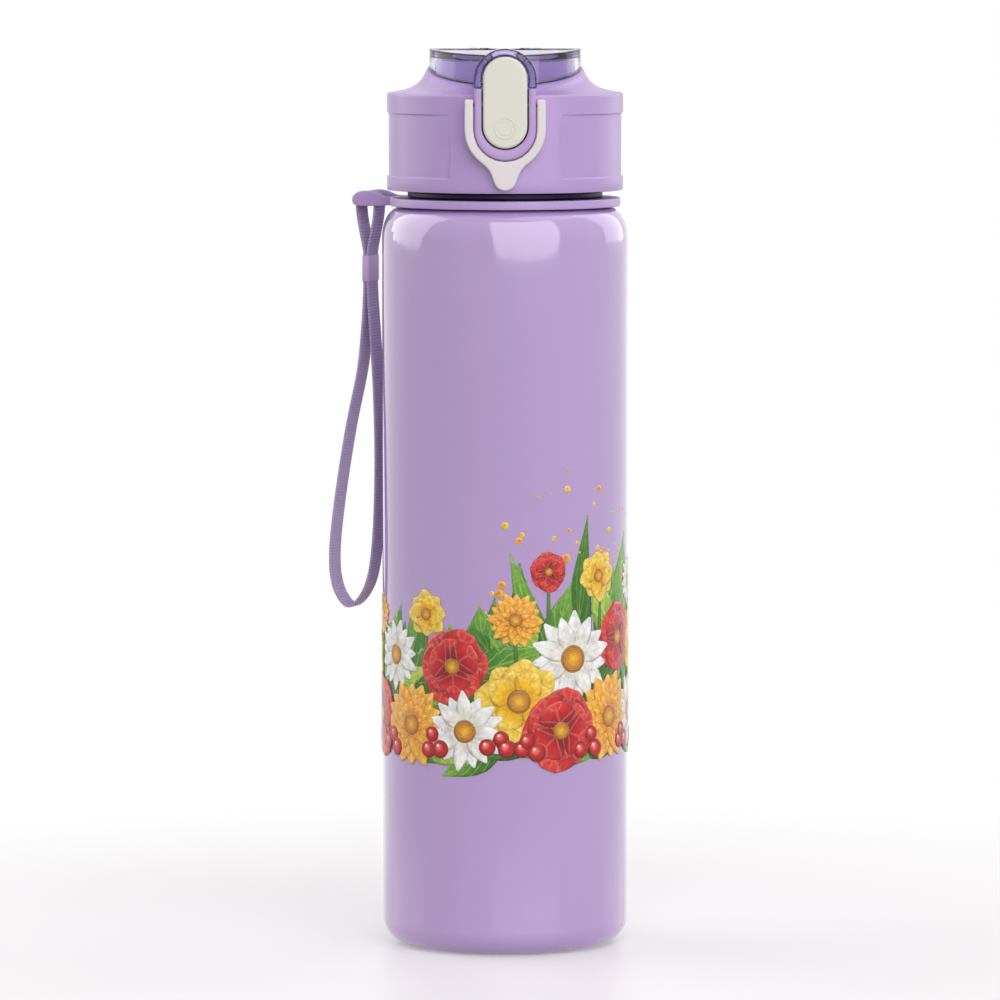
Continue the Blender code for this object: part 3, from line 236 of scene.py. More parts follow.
def soften(profile, radius, steps=4):
    """Round every corner of an open radius-and-height profile that has room for it."""
    result = [profile[0]]
    for before, corner, after in zip(profile, profile[1:], profile[2:]):
        back, ahead = Vector(before) - Vector(corner), Vector(after) - Vector(corner)
        reach = min(radius, back.length * 0.45, ahead.length * 0.45)
        if back.angle(ahead) > math.radians(150) or reach <= 0:
            result.append(corner)
            continue
        start, end = Vector(corner) + back.normalized() * reach, Vector(corner) + ahead.normalized() * reach
        for k in range(steps + 1):
            t = k / steps
            spot = start * (1 - t) ** 2 + Vector(corner) * 2 * t * (1 - t) + end * t * t
            result.append((spot.x, spot.y))
    return result + [profile[-1]]


def skin_rings(bm, rings, closed=False, capped=False, slot_of=lambda row, column: 0):
    """Skin each ring of points to the next; closed joins the last to the first, capped fills both
    ends (as row -1), and slot_of gives the material slot of the face at a row and column."""
    rings = [[bm.verts.new(point) for point in ring] for ring in rings]
    count = max(len(ring) for ring in rings)
    for row, (first, second) in enumerate(zip(rings, rings[1:] + (rings[:1] if closed else []))):
        for k in range(count):
            after = (k + 1) % count
            corners = [first[k % len(first)], first[after % len(first)], second[after % len(second)],
                       second[k % len(second)]]
            bm.faces.new(list(dict.fromkeys(corners))).material_index = slot_of(row, k)
    if capped:
        for ring in (rings[0], rings[-1]):
            bm.faces.new(ring).material_index = slot_of(-1, -1)


def turn_profile(bm, profile, **skin):
    """Turn a profile of (radius, height) points round Z."""
    rings = []
    for radius, height in profile:
        circle = arc_points((0, 0), radius, radius, 0, 360, around)[:-1] if radius else [(0, 0)]
        rings.append([(x, y, height) for x, y in circle])
    skin_rings(bm, rings, **skin)


lavender_paint, tree, place = start_material("lavender_gloss_paint")
# Sprayed gloss paint under a clear coat: an even lavender with a faint orange peel, and small
# pale scuffs where the base stands on the table.
cloud = add_node(tree, "TexNoise", {"Scale": 1 / (60 * mm), "Detail": 2.0}, {"Vector": (place, "Object")})
tone = add_node(tree, "Mix", {"data_type": "RGBA", 6: linear("#B092C8"), 7: linear("#B498CB")},
                {0: (cloud, "Fac")})
height = add_node(tree, "SeparateXYZ", None, {0: (place, "Object")})
low = add_node(tree, "MapRange", {"From Min": 1.6 * mm, "From Max": 0.2 * mm}, {"Value": (height, "Z")})
grit = add_node(tree, "TexNoise", {"Scale": 1 / (1.2 * mm), "Detail": 6.0, "Roughness": 0.7},
                {"Vector": (place, "Object")})
patchy = add_node(tree, "MapRange", {"From Min": 0.52, "From Max": 0.66}, {"Value": (grit, "Fac")})
scuff = add_node(tree, "Math", {"operation": "MULTIPLY"}, {0: (low, "Result"), 1: (patchy, "Result")})
worn = add_node(tree, "Mix", {"data_type": "RGBA", 7: linear("#D9CDE0")}, {0: (scuff, 0), 6: (tone, 2)})
gloss = add_node(tree, "MapRange", {"To Min": 0.05, "To Max": 0.5}, {"Value": (scuff, 0)})
peel = add_node(tree, "TexNoise", {"Scale": 1 / (2.5 * mm), "Detail": 1.0}, {"Vector": (place, "Object")})
relief = add_node(tree, "Bump", {"Strength": 0.12, "Distance": 0.02 * mm}, {"Height": (peel, "Fac")})
skin = add_node(tree, "BsdfPrincipled", {"IOR": 1.5, "Coat Weight": 1.0, "Coat Roughness": 0.02},
                {"Base Color": (worn, 2), "Roughness": (gloss, "Result"), "Normal": (relief, 0)})
add_node(tree, "OutputMaterial", None, {0: (skin, 0)})

bare_violet_painted_shade, tree, place = start_material("violet_moulded_polyester_painted_shade")
# Bare blow-moulded plastic, smooth, with fine flow lines up the neck; darker than the paint, and near-black
# violet as painted shade for the gap under the cap.
drawn = add_node(tree, "Mapping", {"Scale": (1, 1, 0.15)}, {"Vector": (place, "Object")})
flow = add_node(tree, "TexNoise", {"Scale": 1 / (3 * mm), "Detail": 3.0}, {"Vector": (drawn, 0)})
tone = add_node(tree, "Mix", {"data_type": "RGBA", 6: linear("#1E0F31"), 7: linear("#28163F")},
                {0: (flow, "Fac")})
relief = add_node(tree, "Bump", {"Strength": 0.15, "Distance": 0.03 * mm}, {"Height": (flow, "Fac")})
skin = add_node(tree, "BsdfPrincipled", {"Roughness": 0.45, "Specular IOR Level": 0.3},
                {"Base Color": (tone, 2), "Normal": (relief, 0)})
add_node(tree, "OutputMaterial", None, {0: (skin, 0)})

outside = [(radius * mm, height * mm) for radius, height in foot_line]
outside += arc_points((body_radius - base_corner, base_corner), base_corner, base_corner, 270, 360, 20)
outside += [(body_radius, base_corner + step * 25 * mm + 0.4 * mm) for step in range(9)]
outside += [(body_radius, body_height - shoulder_up - 0.3 * mm)]
shoulder_centre = (body_radius - shoulder_in, body_height - shoulder_up)
outside += arc_points(shoulder_centre, shoulder_in, shoulder_up, 0, 90, 28)
painted_faces = len(outside) - 1
neck = [(groove_radius, body_height), (groove_radius, bead_bottom), (bead_radius, bead_bottom),
        (bead_radius, bead_top), (neck_radius, bead_top), (neck_radius, neck_top), (bore_radius, neck_top),
        (bore_radius, body_height - wall)]
neck = soften([outside[-1]] + neck, 0.5 * mm)[1:]
inside = arc_points(shoulder_centre, shoulder_in - wall, shoulder_up - wall, 90, 0, 8)
inside += arc_points((body_radius - base_corner, floor_wall + base_corner - wall), base_corner - wall,
                     base_corner - wall, 0, -90, 8)
inside += [(0, floor_wall)]
bm = bmesh.new()
turn_profile(bm, outside + neck + inside, slot_of=lambda row, column: 0 if row < painted_faces else 1)
bottle_shell = add_piece("bottle_shell", bm, [lavender_paint, bare_violet_painted_shade])
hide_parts("bottle_body")
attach(bottle_shell, "bottle")


# Neck thread
# A single-start screw ridge moulded on the neck, 5 mm a turn, that fades out at both ends.
thread_pitch = 5 * mm
thread_half = 0.99 * mm
steps_per_turn = 96
# The ridge's section from foot to foot, as shares of its depth and of half its width
ridge_shares = ((0.7, -0.6818), (1.0, -0.3182), (1.0, 0.3182), (0.7, 0.6818))


def thread_ridge(name, radius, depth, bottom, top, turns_start, material):
    """A helical ridge of rounded trapezium section; a negative depth makes it point inwards."""
    bm = bmesh.new()
    turns = (top - bottom) / thread_pitch
    count = int(turns * steps_per_turn)
    root = math.copysign(0.15 * mm, depth)
    rows = []
    for k in range(count + 1):
        share = k / count
        fade = min(1.0, share * turns * 8, (1 - share) * turns * 8)
        angle = 2 * math.pi * (turns_start + share * turns)
        middle = bottom + share * (top - bottom)
        section = [(-root, -1.0)] + [(depth * fade * out, up) for out, up in ridge_shares] + [(-root, 1.0)]
        rows.append([((radius + out) * math.cos(angle), (radius + out) * math.sin(angle),
                      middle + up * thread_half) for out, up in section])
    skin_rings(bm, rows, capped=True)
    return add_piece(name, bm, [material])


neck_thread = thread_ridge("neck_thread", neck_radius, 0.55 * mm, 226.3 * mm, 236.6 * mm, 0.1, bare_violet_painted_shade)
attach(neck_thread, "bottle")


# Printed band
# A generic meadow of flowers, leaves and berries, screen printed round the body in raised
# glossy inks over the lavender paint. Each petal and leaf is one thin layer of ink.
print_low = 58 * mm
ink_depth = 0.05 * mm
overprint_step = 0.00008 * mm


def ink(name, root, middle, tip, vein, vein_gap, vein_share, mottle=1.4):
    """Gloss ink shaded from root to tip along a petal, with fine veins; mottle is in mm."""
    material, tree, place = start_material(name)
    spot = add_node(tree, "UVMap", {"uv_map": "stroke"})
    axes = add_node(tree, "SeparateXYZ", None, {0: (spot, 0)})
    ramp = add_node(tree, "ValToRGB", None, {0: (axes, "X")})
    ramp.color_ramp.elements[0].color = linear(root)
    ramp.color_ramp.elements[1].color = linear(tip)
    ramp.color_ramp.elements[0].position = 0.05
    half_way = ramp.color_ramp.elements.new(0.5)
    half_way.color = linear(middle)
    across = add_node(tree, "Math", {"operation": "ABSOLUTE"}, {0: (axes, "Y")})
    midrib = add_node(tree, "MapRange", {"From Min": 0.09, "From Max": 0.02}, {"Value": (across, 0)})
    along = add_node(tree, "Math", {"operation": "MULTIPLY", 1: vein_gap}, {0: (axes, "X")})
    slant = add_node(tree, "Math", {"operation": "MULTIPLY_ADD", 1: -vein_gap * 0.35},
                     {0: (across, 0), 2: (along, 0)})
    wave = add_node(tree, "Math", {"operation": "SINE"}, {0: (slant, 0)})
    thin = add_node(tree, "MapRange", {"From Min": 0.78, "From Max": 1.0}, {"Value": (wave, 0)})
    lines = add_node(tree, "Math", {"operation": "MAXIMUM"}, {0: (midrib, "Result"), 1: (thin, "Result")})
    soft_lines = add_node(tree, "Math", {"operation": "MULTIPLY", 1: vein_share}, {0: (lines, 0)})
    blot = add_node(tree, "TexNoise", {"Scale": 1 / (mottle * mm), "Detail": 4.0, "Roughness": 0.6},
                    {"Vector": (place, "Object")})
    wash = add_node(tree, "MapRange", {"From Min": 0.3, "From Max": 0.7, "To Min": 0.72, "To Max": 1.12},
                    {"Value": (blot, "Fac")})
    edge = add_node(tree, "MapRange", {"From Min": 0.72, "From Max": 1.0, "To Min": 1.0, "To Max": 0.72},
                    {"Value": (across, 0)})
    shade = add_node(tree, "Math", {"operation": "MULTIPLY"}, {0: (wash, "Result"), 1: (edge, "Result")})
    veined = add_node(tree, "Mix", {"data_type": "RGBA", 7: linear(vein)},
                      {0: (soft_lines, 0), 6: (ramp, 0)})
    toned = add_node(tree, "VectorMath", {"operation": "SCALE"}, {0: (veined, 2), "Scale": (shade, 0)})
    relief = add_node(tree, "Bump", {"Strength": 0.2, "Distance": 0.02 * mm}, {"Height": (lines, 0)})
    skin = add_node(tree, "BsdfPrincipled", {"Roughness": 0.24, "Specular IOR Level": 0.3,
                                             "Coat Weight": 0.25, "Coat Roughness": 0.05},
                    {"Base Color": (toned, 0), "Normal": (relief, 0)})
    add_node(tree, "OutputMaterial", None, {0: (skin, 0)})
    return material


inks = [
    ink("leaf_green_ink", "#2E5A1E", "#4E8A2C", "#7DB23C", "#A9CE63", 34, 0.55),
    ink("leaf_lime_ink", "#5C8E22", "#9AC23A", "#D2DF6C", "#E6EDA0", 30, 0.5),
    ink("leaf_deep_ink", "#1F4418", "#35691F", "#4E8730", "#7FAE4E", 38, 0.5),
    ink("petal_white_ink", "#E9E3C8", "#F7F5F0", "#FFFFFF", "#C9C3D6", 9, 0.35, mottle=2.5),
    ink("petal_orange_ink", "#D9690C", "#F59A18", "#FFC64A", "#FFE09A", 10, 0.45),
    ink("petal_yellow_ink", "#E8A010", "#FBC92C", "#FFE676", "#E69A14", 12, 0.4),
    ink("petal_red_ink", "#7E0F18", "#C51F28", "#E3453F", "#F08A76", 12, 0.35),
    ink("berry_red_ink", "#FF9C8A", "#D42A2C", "#8C1018", "#B51E22", 3, 0.0),
    ink("flower_eye_ink", "#F5C22E", "#D98C14", "#8A4A10", "#FFE38A", 40, 0.6, mottle=0.7),
    ink("stem_ink", "#2F5C1E", "#3F7426", "#5C9134", "#7DB04A", 6, 0.3),
]
(leaf_green, leaf_lime, leaf_deep, petal_white, petal_orange, petal_yellow, petal_red, berry_red,
 flower_eye, stem) = range(len(inks))
printed = bmesh.new()
stroke = printed.loops.layers.uv.new("stroke")
layer_numbers = itertools.count(1)


def lay_ink(grid, ink_number, coordinates, lift, wrapped=False):
    """One closed thin layer of ink: a grid of (along, up) points in metres, bent round the body. It
    lies a hair above the layer before, as overprinted ink does."""
    lift += next(layer_numbers) * overprint_step
    top, bottom = [], []
    for row in grid:
        for target, depth in ((top, lift), (bottom, -ink_depth)):
            radius = body_radius + depth
            target.append([printed.verts.new((radius * math.sin(u / body_radius),
                                              -radius * math.cos(u / body_radius), v)) for u, v in row])
    rows, columns = len(grid), len(grid[0])
    foot = [coordinates(0, 0)] * columns

    def skin_face(corners, places):
        face = printed.faces.new(corners)
        face.material_index = ink_number
        for loop, where in zip(face.loops, places):
            loop[stroke].uv = where

    last = columns if wrapped else columns - 1
    for i in range(rows - 1):
        for j in range(last):
            k = (j + 1) % columns
            places = [coordinates(*at) for at in ((i, j), (i, j + 1), (i + 1, j + 1), (i + 1, j))]
            skin_face((top[i][j], top[i][k], top[i + 1][k], top[i + 1][j]), places)
            skin_face((bottom[i + 1][j], bottom[i + 1][k], bottom[i][k], bottom[i][j]), places[::-1])
    rim = [(i, 0) for i in range(rows)] + [(rows - 1, j) for j in range(1, columns)]
    rim += [(i, columns - 1) for i in range(rows - 2, -1, -1)] + [(0, j) for j in range(columns - 2, 0, -1)]
    if wrapped:
        rim = [(rows - 1, j) for j in range(columns)]
        skin_face(top[0][::-1], foot)
        skin_face(bottom[0], foot)
    for (i, j), (k, m) in zip(rim, rim[1:] + rim[:1]):
        skin_face((top[i][j], bottom[i][j], bottom[k][m], top[k][m]), [coordinates(i, j)] * 4)


def print_petal(u, v, turn_deg, length, width, ink_number, lift, fullness, bend_deg, rows, columns,
                blunt=0.0, teeth=0.0):
    """A petal or leaf from its root at (u, v), pointing turn_deg clockwise from up."""
    grid = []
    heading = math.radians(turn_deg)
    for i in range(rows):
        s = i / (rows - 1)
        swell = math.sin(math.pi * min(s ** fullness, 1.0)) * (1 - blunt)
        swell = max(swell + blunt * math.sin(math.pi * (0.12 + 0.76 * s)), 0.04)
        tooth = 1 - teeth * (0.5 + 0.5 * math.cos(2 * math.pi * s * (rows - 1) / 2))
        half = width / 2 * swell * tooth
        shares = [2 * j / (columns - 1) - 1 for j in range(columns)]
        grid.append([(u + math.cos(heading) * half * share, v - math.sin(heading) * half * share)
                     for share in shares])
        heading += math.radians(bend_deg) / (rows - 1)
        u += math.sin(heading) * length / (rows - 1)
        v += math.cos(heading) * length / (rows - 1)
    lay_ink(grid, ink_number, lambda i, j: (i / (rows - 1), 2 * j / (columns - 1) - 1), lift)


def print_disc(u, v, radius, ink_number, lift, rings, spokes, light=(0.0, 0.0)):
    """A round dab of ink shaded outwards from a light point given in shares of its radius."""
    grid = []
    for i in range(rings):
        share = max(i / (rings - 1), 0.02)
        middle = (u + light[0] * radius * (1 - share), v + light[1] * radius * (1 - share))
        grid.append(arc_points(middle, radius * share, radius * share, 0, 360, spokes)[:-1])
    lay_ink(grid, ink_number, lambda i, j: (i / (rings - 1), 0.3), lift, wrapped=True)


def print_flower(u, v, radius, petals, ink_number, lift, turn_deg, eye, width_share, layers, blunt):
    """A round flower: one or more rings of petals under a stippled eye."""
    for layer in range(layers):
        reach = radius * (1 - 0.24 * layer)
        width = 2 * math.pi * reach / petals * width_share
        columns = 2 * math.ceil(width / (2.8 * mm)) + 1
        for k in range(petals):
            level = lift + (0.012 * layer + 0.006 * (k % 2)) * mm
            turn = turn_deg + 360 * (k + 0.5 * layer) / petals
            wobble = 1 + 0.07 * math.sin(k * 2.4 + u / mm)
            root = radius * eye * 0.5
            root_u = u + root * math.sin(math.radians(turn))
            root_v = v + root * math.cos(math.radians(turn))
            print_petal(root_u, root_v, turn, (reach - root) * wobble, width, ink_number, level, 0.75,
                        6 * math.sin(k * 1.7), 11, columns, blunt)
    print_disc(u, v, radius * eye, flower_eye, lift + 0.012 * layers * mm, 6, 28)


def hash_share(number, salt):
    """A repeatable share from 0 to 1 for one numbered thing."""
    return (math.sin(number * 12.9898 + salt * 78.233) * 43758.5453) % 1.0


circumference = 2 * math.pi * body_radius


def crest(u):
    """How high the meadow grows above its foot: tallest right of the front, low at the back."""
    turn = 2 * math.pi * (u - 24 * mm) / circumference
    return (34 + 20 * math.exp(-(2.2 * math.sin(turn / 2)) ** 2) + 4 * math.sin(3 * turn + 1)) * mm


# Long blades behind, toothed leaves among them, and short leaves lying along the foot
back_row, middle_row, foot_row = 40, 44, 46
for k in range(back_row):
    u = circumference * k / back_row - circumference / 2
    tall = crest(u) * (0.85 + 0.35 * hash_share(k, 1))
    lean = 34 * (hash_share(k, 2) - 0.5)
    print_petal(u, print_low + 5 * mm, lean, tall, (10 + 5 * hash_share(k, 3)) * mm,
                (leaf_deep, leaf_green, leaf_green)[k % 3], (0.01 + 0.01 * (k % 4)) * mm, 0.75,
                40 * (hash_share(k, 4) - 0.5), 19, 13)
for k in range(middle_row):
    u = circumference * (k + 0.4) / middle_row - circumference / 2
    v = print_low + (6 + 0.55 * crest(u) / mm * hash_share(k, 5)) * mm
    lean = 150 * (hash_share(k, 6) - 0.5)
    print_petal(u, v, lean, (18 + 11 * hash_share(k, 7)) * mm, (8 + 4 * hash_share(k, 8)) * mm,
                (leaf_green, leaf_lime, leaf_deep, leaf_green)[k % 4], (0.055 + 0.01 * (k % 5)) * mm, 0.7,
                50 * (hash_share(k, 9) - 0.5), 21, 9, teeth=0.12 if k % 2 else 0.0)
for k in range(foot_row):
    u = circumference * (k + 0.7) / foot_row - circumference / 2
    lean = 90 + 50 * (hash_share(k, 10) - 0.5) if k % 2 else -90 + 50 * (hash_share(k, 11) - 0.5)
    print_petal(u, print_low + (3 + 5 * hash_share(k, 12)) * mm, lean, (14 + 7 * hash_share(k, 13)) * mm,
                (6 + 3 * hash_share(k, 14)) * mm, (leaf_deep, leaf_green, leaf_lime)[k % 3],
                (0.11 + 0.01 * (k % 5)) * mm, 0.7, 20 * (hash_share(k, 15) - 0.5), 17, 7)

# Each flower's place along and above the foot of the band and its radius, in mm
flower_rows = [
    (-110, 9, 10.0, petal_red), (-103, 28, 8.0, petal_white), (-92, 10, 10.0, petal_orange),
    (-82, 27, 9.0, petal_red), (-72, 10, 10.5, petal_white), (-61, 28, 8.5, petal_yellow),
    (-51, 11, 10.5, petal_red), (-39, 30, 9.0, petal_white), (-31, 10, 11.0, petal_orange),
    (-16, 28, 9.5, petal_red), (-12, 9, 10.0, petal_white), (4, 18, 11.0, petal_yellow),
    (21, 30, 12.0, petal_white), (17, 9, 10.5, petal_red), (36, 12, 11.5, petal_orange),
    (41, 35, 9.0, petal_red), (52, 12, 9.5, petal_white), (58, 32, 9.5, petal_yellow),
    (69, 12, 10.5, petal_red), (77, 31, 8.5, petal_orange), (87, 11, 10.5, petal_white),
    (98, 27, 8.5, petal_yellow), (104, 10, 8.5, petal_orange), (3, 42, 7.0, petal_orange),
    (31, 54, 6.5, petal_yellow), (-25, 43, 6.0, petal_yellow), (52, 51, 6.0, petal_white),
    (-51, 41, 5.5, petal_orange), (13, 56, 5.0, petal_red), (86, 42, 5.5, petal_red),
    (-88, 40, 5.0, petal_white),
]
# Each colour's petals in a ring, width share, rings, eye share and bluntness
flower_form = {petal_white: (15, 1.05, 1, 0.3, 0.30), petal_orange: (16, 1.5, 3, 0.26, 0.2),
               petal_yellow: (8, 1.25, 2, 0.28, 0.45), petal_red: (6, 1.3, 2, 0.22, 0.75)}
flower_scale = 1.14
flower_rows.sort(key=lambda row: -row[1])
pollen_count = 48
for k in range(pollen_count):
    u = (26 + 70 * (hash_share(k, 21) - 0.5)) * mm
    v = print_low + crest(u) + (4 + 26 * hash_share(k, 22) ** 2) * mm
    radius = (0.3 + 1.1 * hash_share(k, 23) ** 2) * mm
    print_disc(u, v, radius, (petal_yellow, petal_orange)[k % 2], 0.02 * mm, 3, 14, light=(-0.2, 0.2))
for number, (u, v, radius, ink_number) in enumerate(flower_rows):
    print_petal(u * mm - 2 * mm * math.sin(number), print_low + 6 * mm, 4 * math.sin(number),
                max(v * mm - 6 * mm, 2 * mm), 1.5 * mm, stem, 0.165 * mm, 0.9, 0.0, 11, 3, blunt=1.0)
for number, (u, v, radius, ink_number) in enumerate(flower_rows):
    petals, width_share, layers, eye, blunt = flower_form[ink_number]
    print_flower(u * mm, print_low + v * mm, radius * flower_scale * mm, petals, ink_number,
                 (0.32 - 0.0023 * v) * mm, 360 * hash_share(number, 16), eye, width_share, layers, blunt)

# Berries in threes at the foot, each with a painted highlight
for number, u in enumerate((-111, -99, -82, -62, -41, -22, -2, 7, 27, 44, 61, 78, 96)):
    for berry, (right, up, size) in enumerate(((-2.6, 0.4, 2.5), (2.4, 0.0, 2.7), (0.1, 3.6, 2.3))):
        middle_u = (u + right + 0.8 * math.sin(number * 3 + berry)) * mm
        middle_v = print_low + (3.4 + up + 0.8 * math.cos(number * 2 + berry)) * mm
        radius = size * mm
        print_disc(middle_u, middle_v, radius, berry_red, 0.36 * mm, 6, 24, light=(-0.3, 0.35))
        print_disc(middle_u - 0.3 * radius, middle_v + 0.38 * radius, 0.16 * radius, petal_white, 0.37 * mm,
                   3, 12)
meadow_print = add_piece("meadow_print", printed, inks)
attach(meadow_print, "bottle")


# Strap ring
# A flat ring of satin polypropylene that turns under the neck's bead, with the two-armed lug
# for the strap moulded on it.
def satin_plastic(name, first, second, rough, grain, grain_depth):
    """Moulded satin plastic: slight colour drift and an even spark-eroded grain, sized in mm."""
    material, tree, place = start_material(name)
    drift = add_node(tree, "TexNoise", {"Scale": 1 / (25 * mm), "Detail": 2.0},
                     {"Vector": (place, "Object")})
    tone = add_node(tree, "Mix", {"data_type": "RGBA", 6: linear(first), 7: linear(second)},
                    {0: (drift, "Fac")})
    fine = add_node(tree, "TexNoise", {"Scale": 1 / (grain * mm), "Detail": 3.0, "Roughness": 0.6},
                    {"Vector": (place, "Object")})
    rubbed = add_node(tree, "MapRange",
                      {"From Min": 0.15, "From Max": 0.85, "To Min": rough - 0.05, "To Max": rough + 0.07},
                      {"Value": (drift, "Fac")})
    relief = add_node(tree, "Bump", {"Strength": 0.2, "Distance": grain_depth * mm},
                      {"Height": (fine, "Fac")})
    skin = add_node(tree, "BsdfPrincipled", {"IOR": 1.49},
                    {"Base Color": (tone, 2), "Roughness": (rubbed, "Result"), "Normal": (relief, 0)})
    add_node(tree, "OutputMaterial", None, {0: (skin, 0)})
    return material


def dress(node, material):
    """Give a CAD node its material."""
    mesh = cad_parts[node].data
    mesh.materials.clear()
    mesh.materials.append(material)


ring_satin = satin_plastic("lavender_satin_polypropylene", "#B496CD", "#B99BD1", 0.34, 0.35, 0.012)
ring_inner, ring_outer, ring_low, ring_high = 28.5 * mm, 34.2 * mm, 219.9 * mm, 222.4 * mm
bar_out, bar_height, bar_radius = 42.1 * mm, 221.1 * mm, 1.5 * mm
lug_half, slot_half, bar_inset = 6.65 * mm, 4.6 * mm, 0.8 * mm
lug_turn = -math.radians(20)
# One arm of the lug seen from the side, from the ring's rim out, over the hump and back, in mm
arm_line = [(33.4, 219.9), (36.5, 219.5), (44.2, 219.4), (45.4, 219.6), (46.1, 220.3), (46.35, 221.3),
            (46.1, 222.3), (45.3, 223.2), (44.0, 223.8), (42.4, 224.0), (40.6, 223.9), (39.0, 223.5),
            (37.4, 222.8), (36.0, 222.4), (33.4, 222.4)]


def along_lug(out, height, across):
    """A point of the lug or strap: its reach from the bottle's axis, its height and its place across."""
    return Vector((-out * math.cos(lug_turn) - across * math.sin(lug_turn),
                   -out * math.sin(lug_turn) + across * math.cos(lug_turn), height))


def extrude_outline(bm, outline, low, high, place, bevel=0.0, steps=3, slot=0, rim=0.0):
    """A closed outline given thickness from low to high, its end edges rounded by bevel; a narrow
    flat rim inside the rounding keeps a broad end face shaded dead flat."""
    count = len(outline)
    area = sum(outline[k - 1][0] * outline[k][1] - outline[k][0] * outline[k - 1][1] for k in range(count))
    side = math.copysign(1.0, area)
    inward = []
    for k, point in enumerate(outline):
        before = (Vector(point) - Vector(outline[k - 1])).normalized()
        after = (Vector(outline[(k + 1) % count]) - Vector(point)).normalized()
        normal = Vector((-before.y - after.y, before.x + after.x)).normalized() * side
        inward.append(normal / max(normal.dot(Vector((-after.y, after.x)) * side), 0.3))
    levels = [(low, 0.0), (high, 0.0)]
    if bevel:
        turns = [math.pi / 2 * k / steps for k in range(steps + 1)]
        levels = [(low + bevel * (1 - math.sin(a)), bevel * (1 - math.cos(a))) for a in turns[::-1]]
        levels += [(high - bevel * (1 - math.sin(a)), bevel * (1 - math.cos(a))) for a in turns]
    if rim:
        levels = [(low, bevel + rim)] + levels + [(high, bevel + rim)]
    skin_rings(bm, [[place(point[0] + way.x * inset, point[1] + way.y * inset, level)
                     for point, way in zip(outline, inward)] for level, inset in levels], capped=True,
               slot_of=lambda row, column: slot)


def sharpen(piece, angle_deg=35):
    """Smooth faces that meet flatter than the angle, crisp edges elsewhere."""
    piece.data.polygons.foreach_set("use_smooth", [True] * len(piece.data.polygons))
    piece.data.set_sharp_from_angle(angle=math.radians(angle_deg))


bm = bmesh.new()
band = [(ring_inner, ring_low), (ring_outer, ring_low), (ring_outer, ring_high), (ring_inner, ring_high)]
band = soften(band[-1:] + band + band[:1], 0.35 * mm)[1:-1]
turn_profile(bm, band, closed=True)
arm = soften([(out * mm, height * mm) for out, height in arm_line], 0.5 * mm, 2)
for side in (-1, 1):
    extrude_outline(bm, arm, *sorted((side * slot_half, side * lug_half)), along_lug, 0.5 * mm)
bar = arc_points((bar_out, bar_height), bar_radius, bar_radius, 0, 345, 23)
extrude_outline(bm, bar, bar_inset - lug_half, lug_half - bar_inset, along_lug)
swivel_ring = add_piece("swivel_ring", bm, [ring_satin])
sharpen(swivel_ring, 45)
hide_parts("strap_ring")
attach(swivel_ring, "ring")


# Wrist strap
# One length of woven polyester tape, 8.5 mm wide, folded over the lug's bar and closed in a
# wrist loop. Fine cross ribs and a twill weave show on both faces.
tape_width = 8.5 * mm
tape_thickness = 0.9 * mm
bar_wrap = 2.3 * mm
outer_reach = 3.7 * mm
ply_offset = 0.5 * mm
keeper_out = 42.8 * mm
keeper_top, keeper_low = 204.6 * mm, 196.8 * mm
loop_width = 14.8 * mm
loop_drop = 97.7 * mm
pick_spacing = 0.9 * mm
steps_per_pick = 4
# The loop below the keeper, as shares of its width out and of its drop
wrist_shares = [
    (0.05, 0.07), (0.09, 0.155), (0.18, 0.275), (0.44, 0.46), (0.68, 0.68), (0.79, 0.845),
    (0.71, 0.945), (0.43, 1.0), (0.13, 0.965), (-0.07, 0.885), (-0.17, 0.735), (-0.2, 0.53),
    (-0.165, 0.325), (-0.1, 0.165), (-0.055, 0.07),
]


def points_along(line, count):
    """The same line as evenly spaced points."""
    travelled = [0.0]
    for first, second in zip(line, line[1:]):
        travelled.append(travelled[-1] + math.dist(first, second))
    result, at = [], 0
    for k in range(count):
        goal = travelled[-1] * k / (count - 1)
        while at < len(line) - 2 and travelled[at + 1] < goal:
            at += 1
        share = (goal - travelled[at]) / (travelled[at + 1] - travelled[at])
        result.append(tuple(a + (b - a) * share for a, b in zip(line[at], line[at + 1])))
    return result


legs = []
for bar_side, ply in ((-bar_out - outer_reach, -keeper_out - ply_offset),
                      (-bar_out + bar_wrap, -keeper_out + ply_offset)):
    leg = [(bar_side + (ply - bar_side) * across, bar_height + (keeper_top - bar_height) * down)
           for down, across in ((0.0, 0.0), (0.35, 0.22), (0.75, 0.75))]
    legs.append(leg + [(ply, keeper_top), (ply, keeper_low)])
wrist = [(-keeper_out - loop_width * out, keeper_low - loop_drop * down) for out, down in wrist_shares]
route = legs[0] + wrist + legs[1][::-1]
fine_route = []
for k in range(len(route) - 1):
    p = [Vector(route[min(max(k + step, 0), len(route) - 1)]) for step in (-1, 0, 1, 2)]
    for t in [step / 24 for step in range(24)]:
        fine_route.append((2 * p[1] + (p[2] - p[0]) * t + (2 * p[0] - 5 * p[1] + 4 * p[2] - p[3]) * t * t
                           + (3 * p[1] - p[0] - 3 * p[2] + p[3]) * t ** 3) / 2)
fine_route.append(route[-1])
bend_centre = (-bar_out + (bar_wrap - outer_reach) / 2, bar_height)
fine_route += arc_points(bend_centre, (bar_wrap + outer_reach) / 2, bar_wrap, 0, 180, 24)[1:-1]
fine_route.append(fine_route[0])
tape_length = sum(math.dist(first, second) for first, second in zip(fine_route, fine_route[1:]))
step_count = round(tape_length * steps_per_pick / pick_spacing)
tape_line = [Vector(point) for point in points_along(fine_route, step_count + 1)[:-1]]

tape_weave, tree, place = start_material("lavender_woven_polyester")
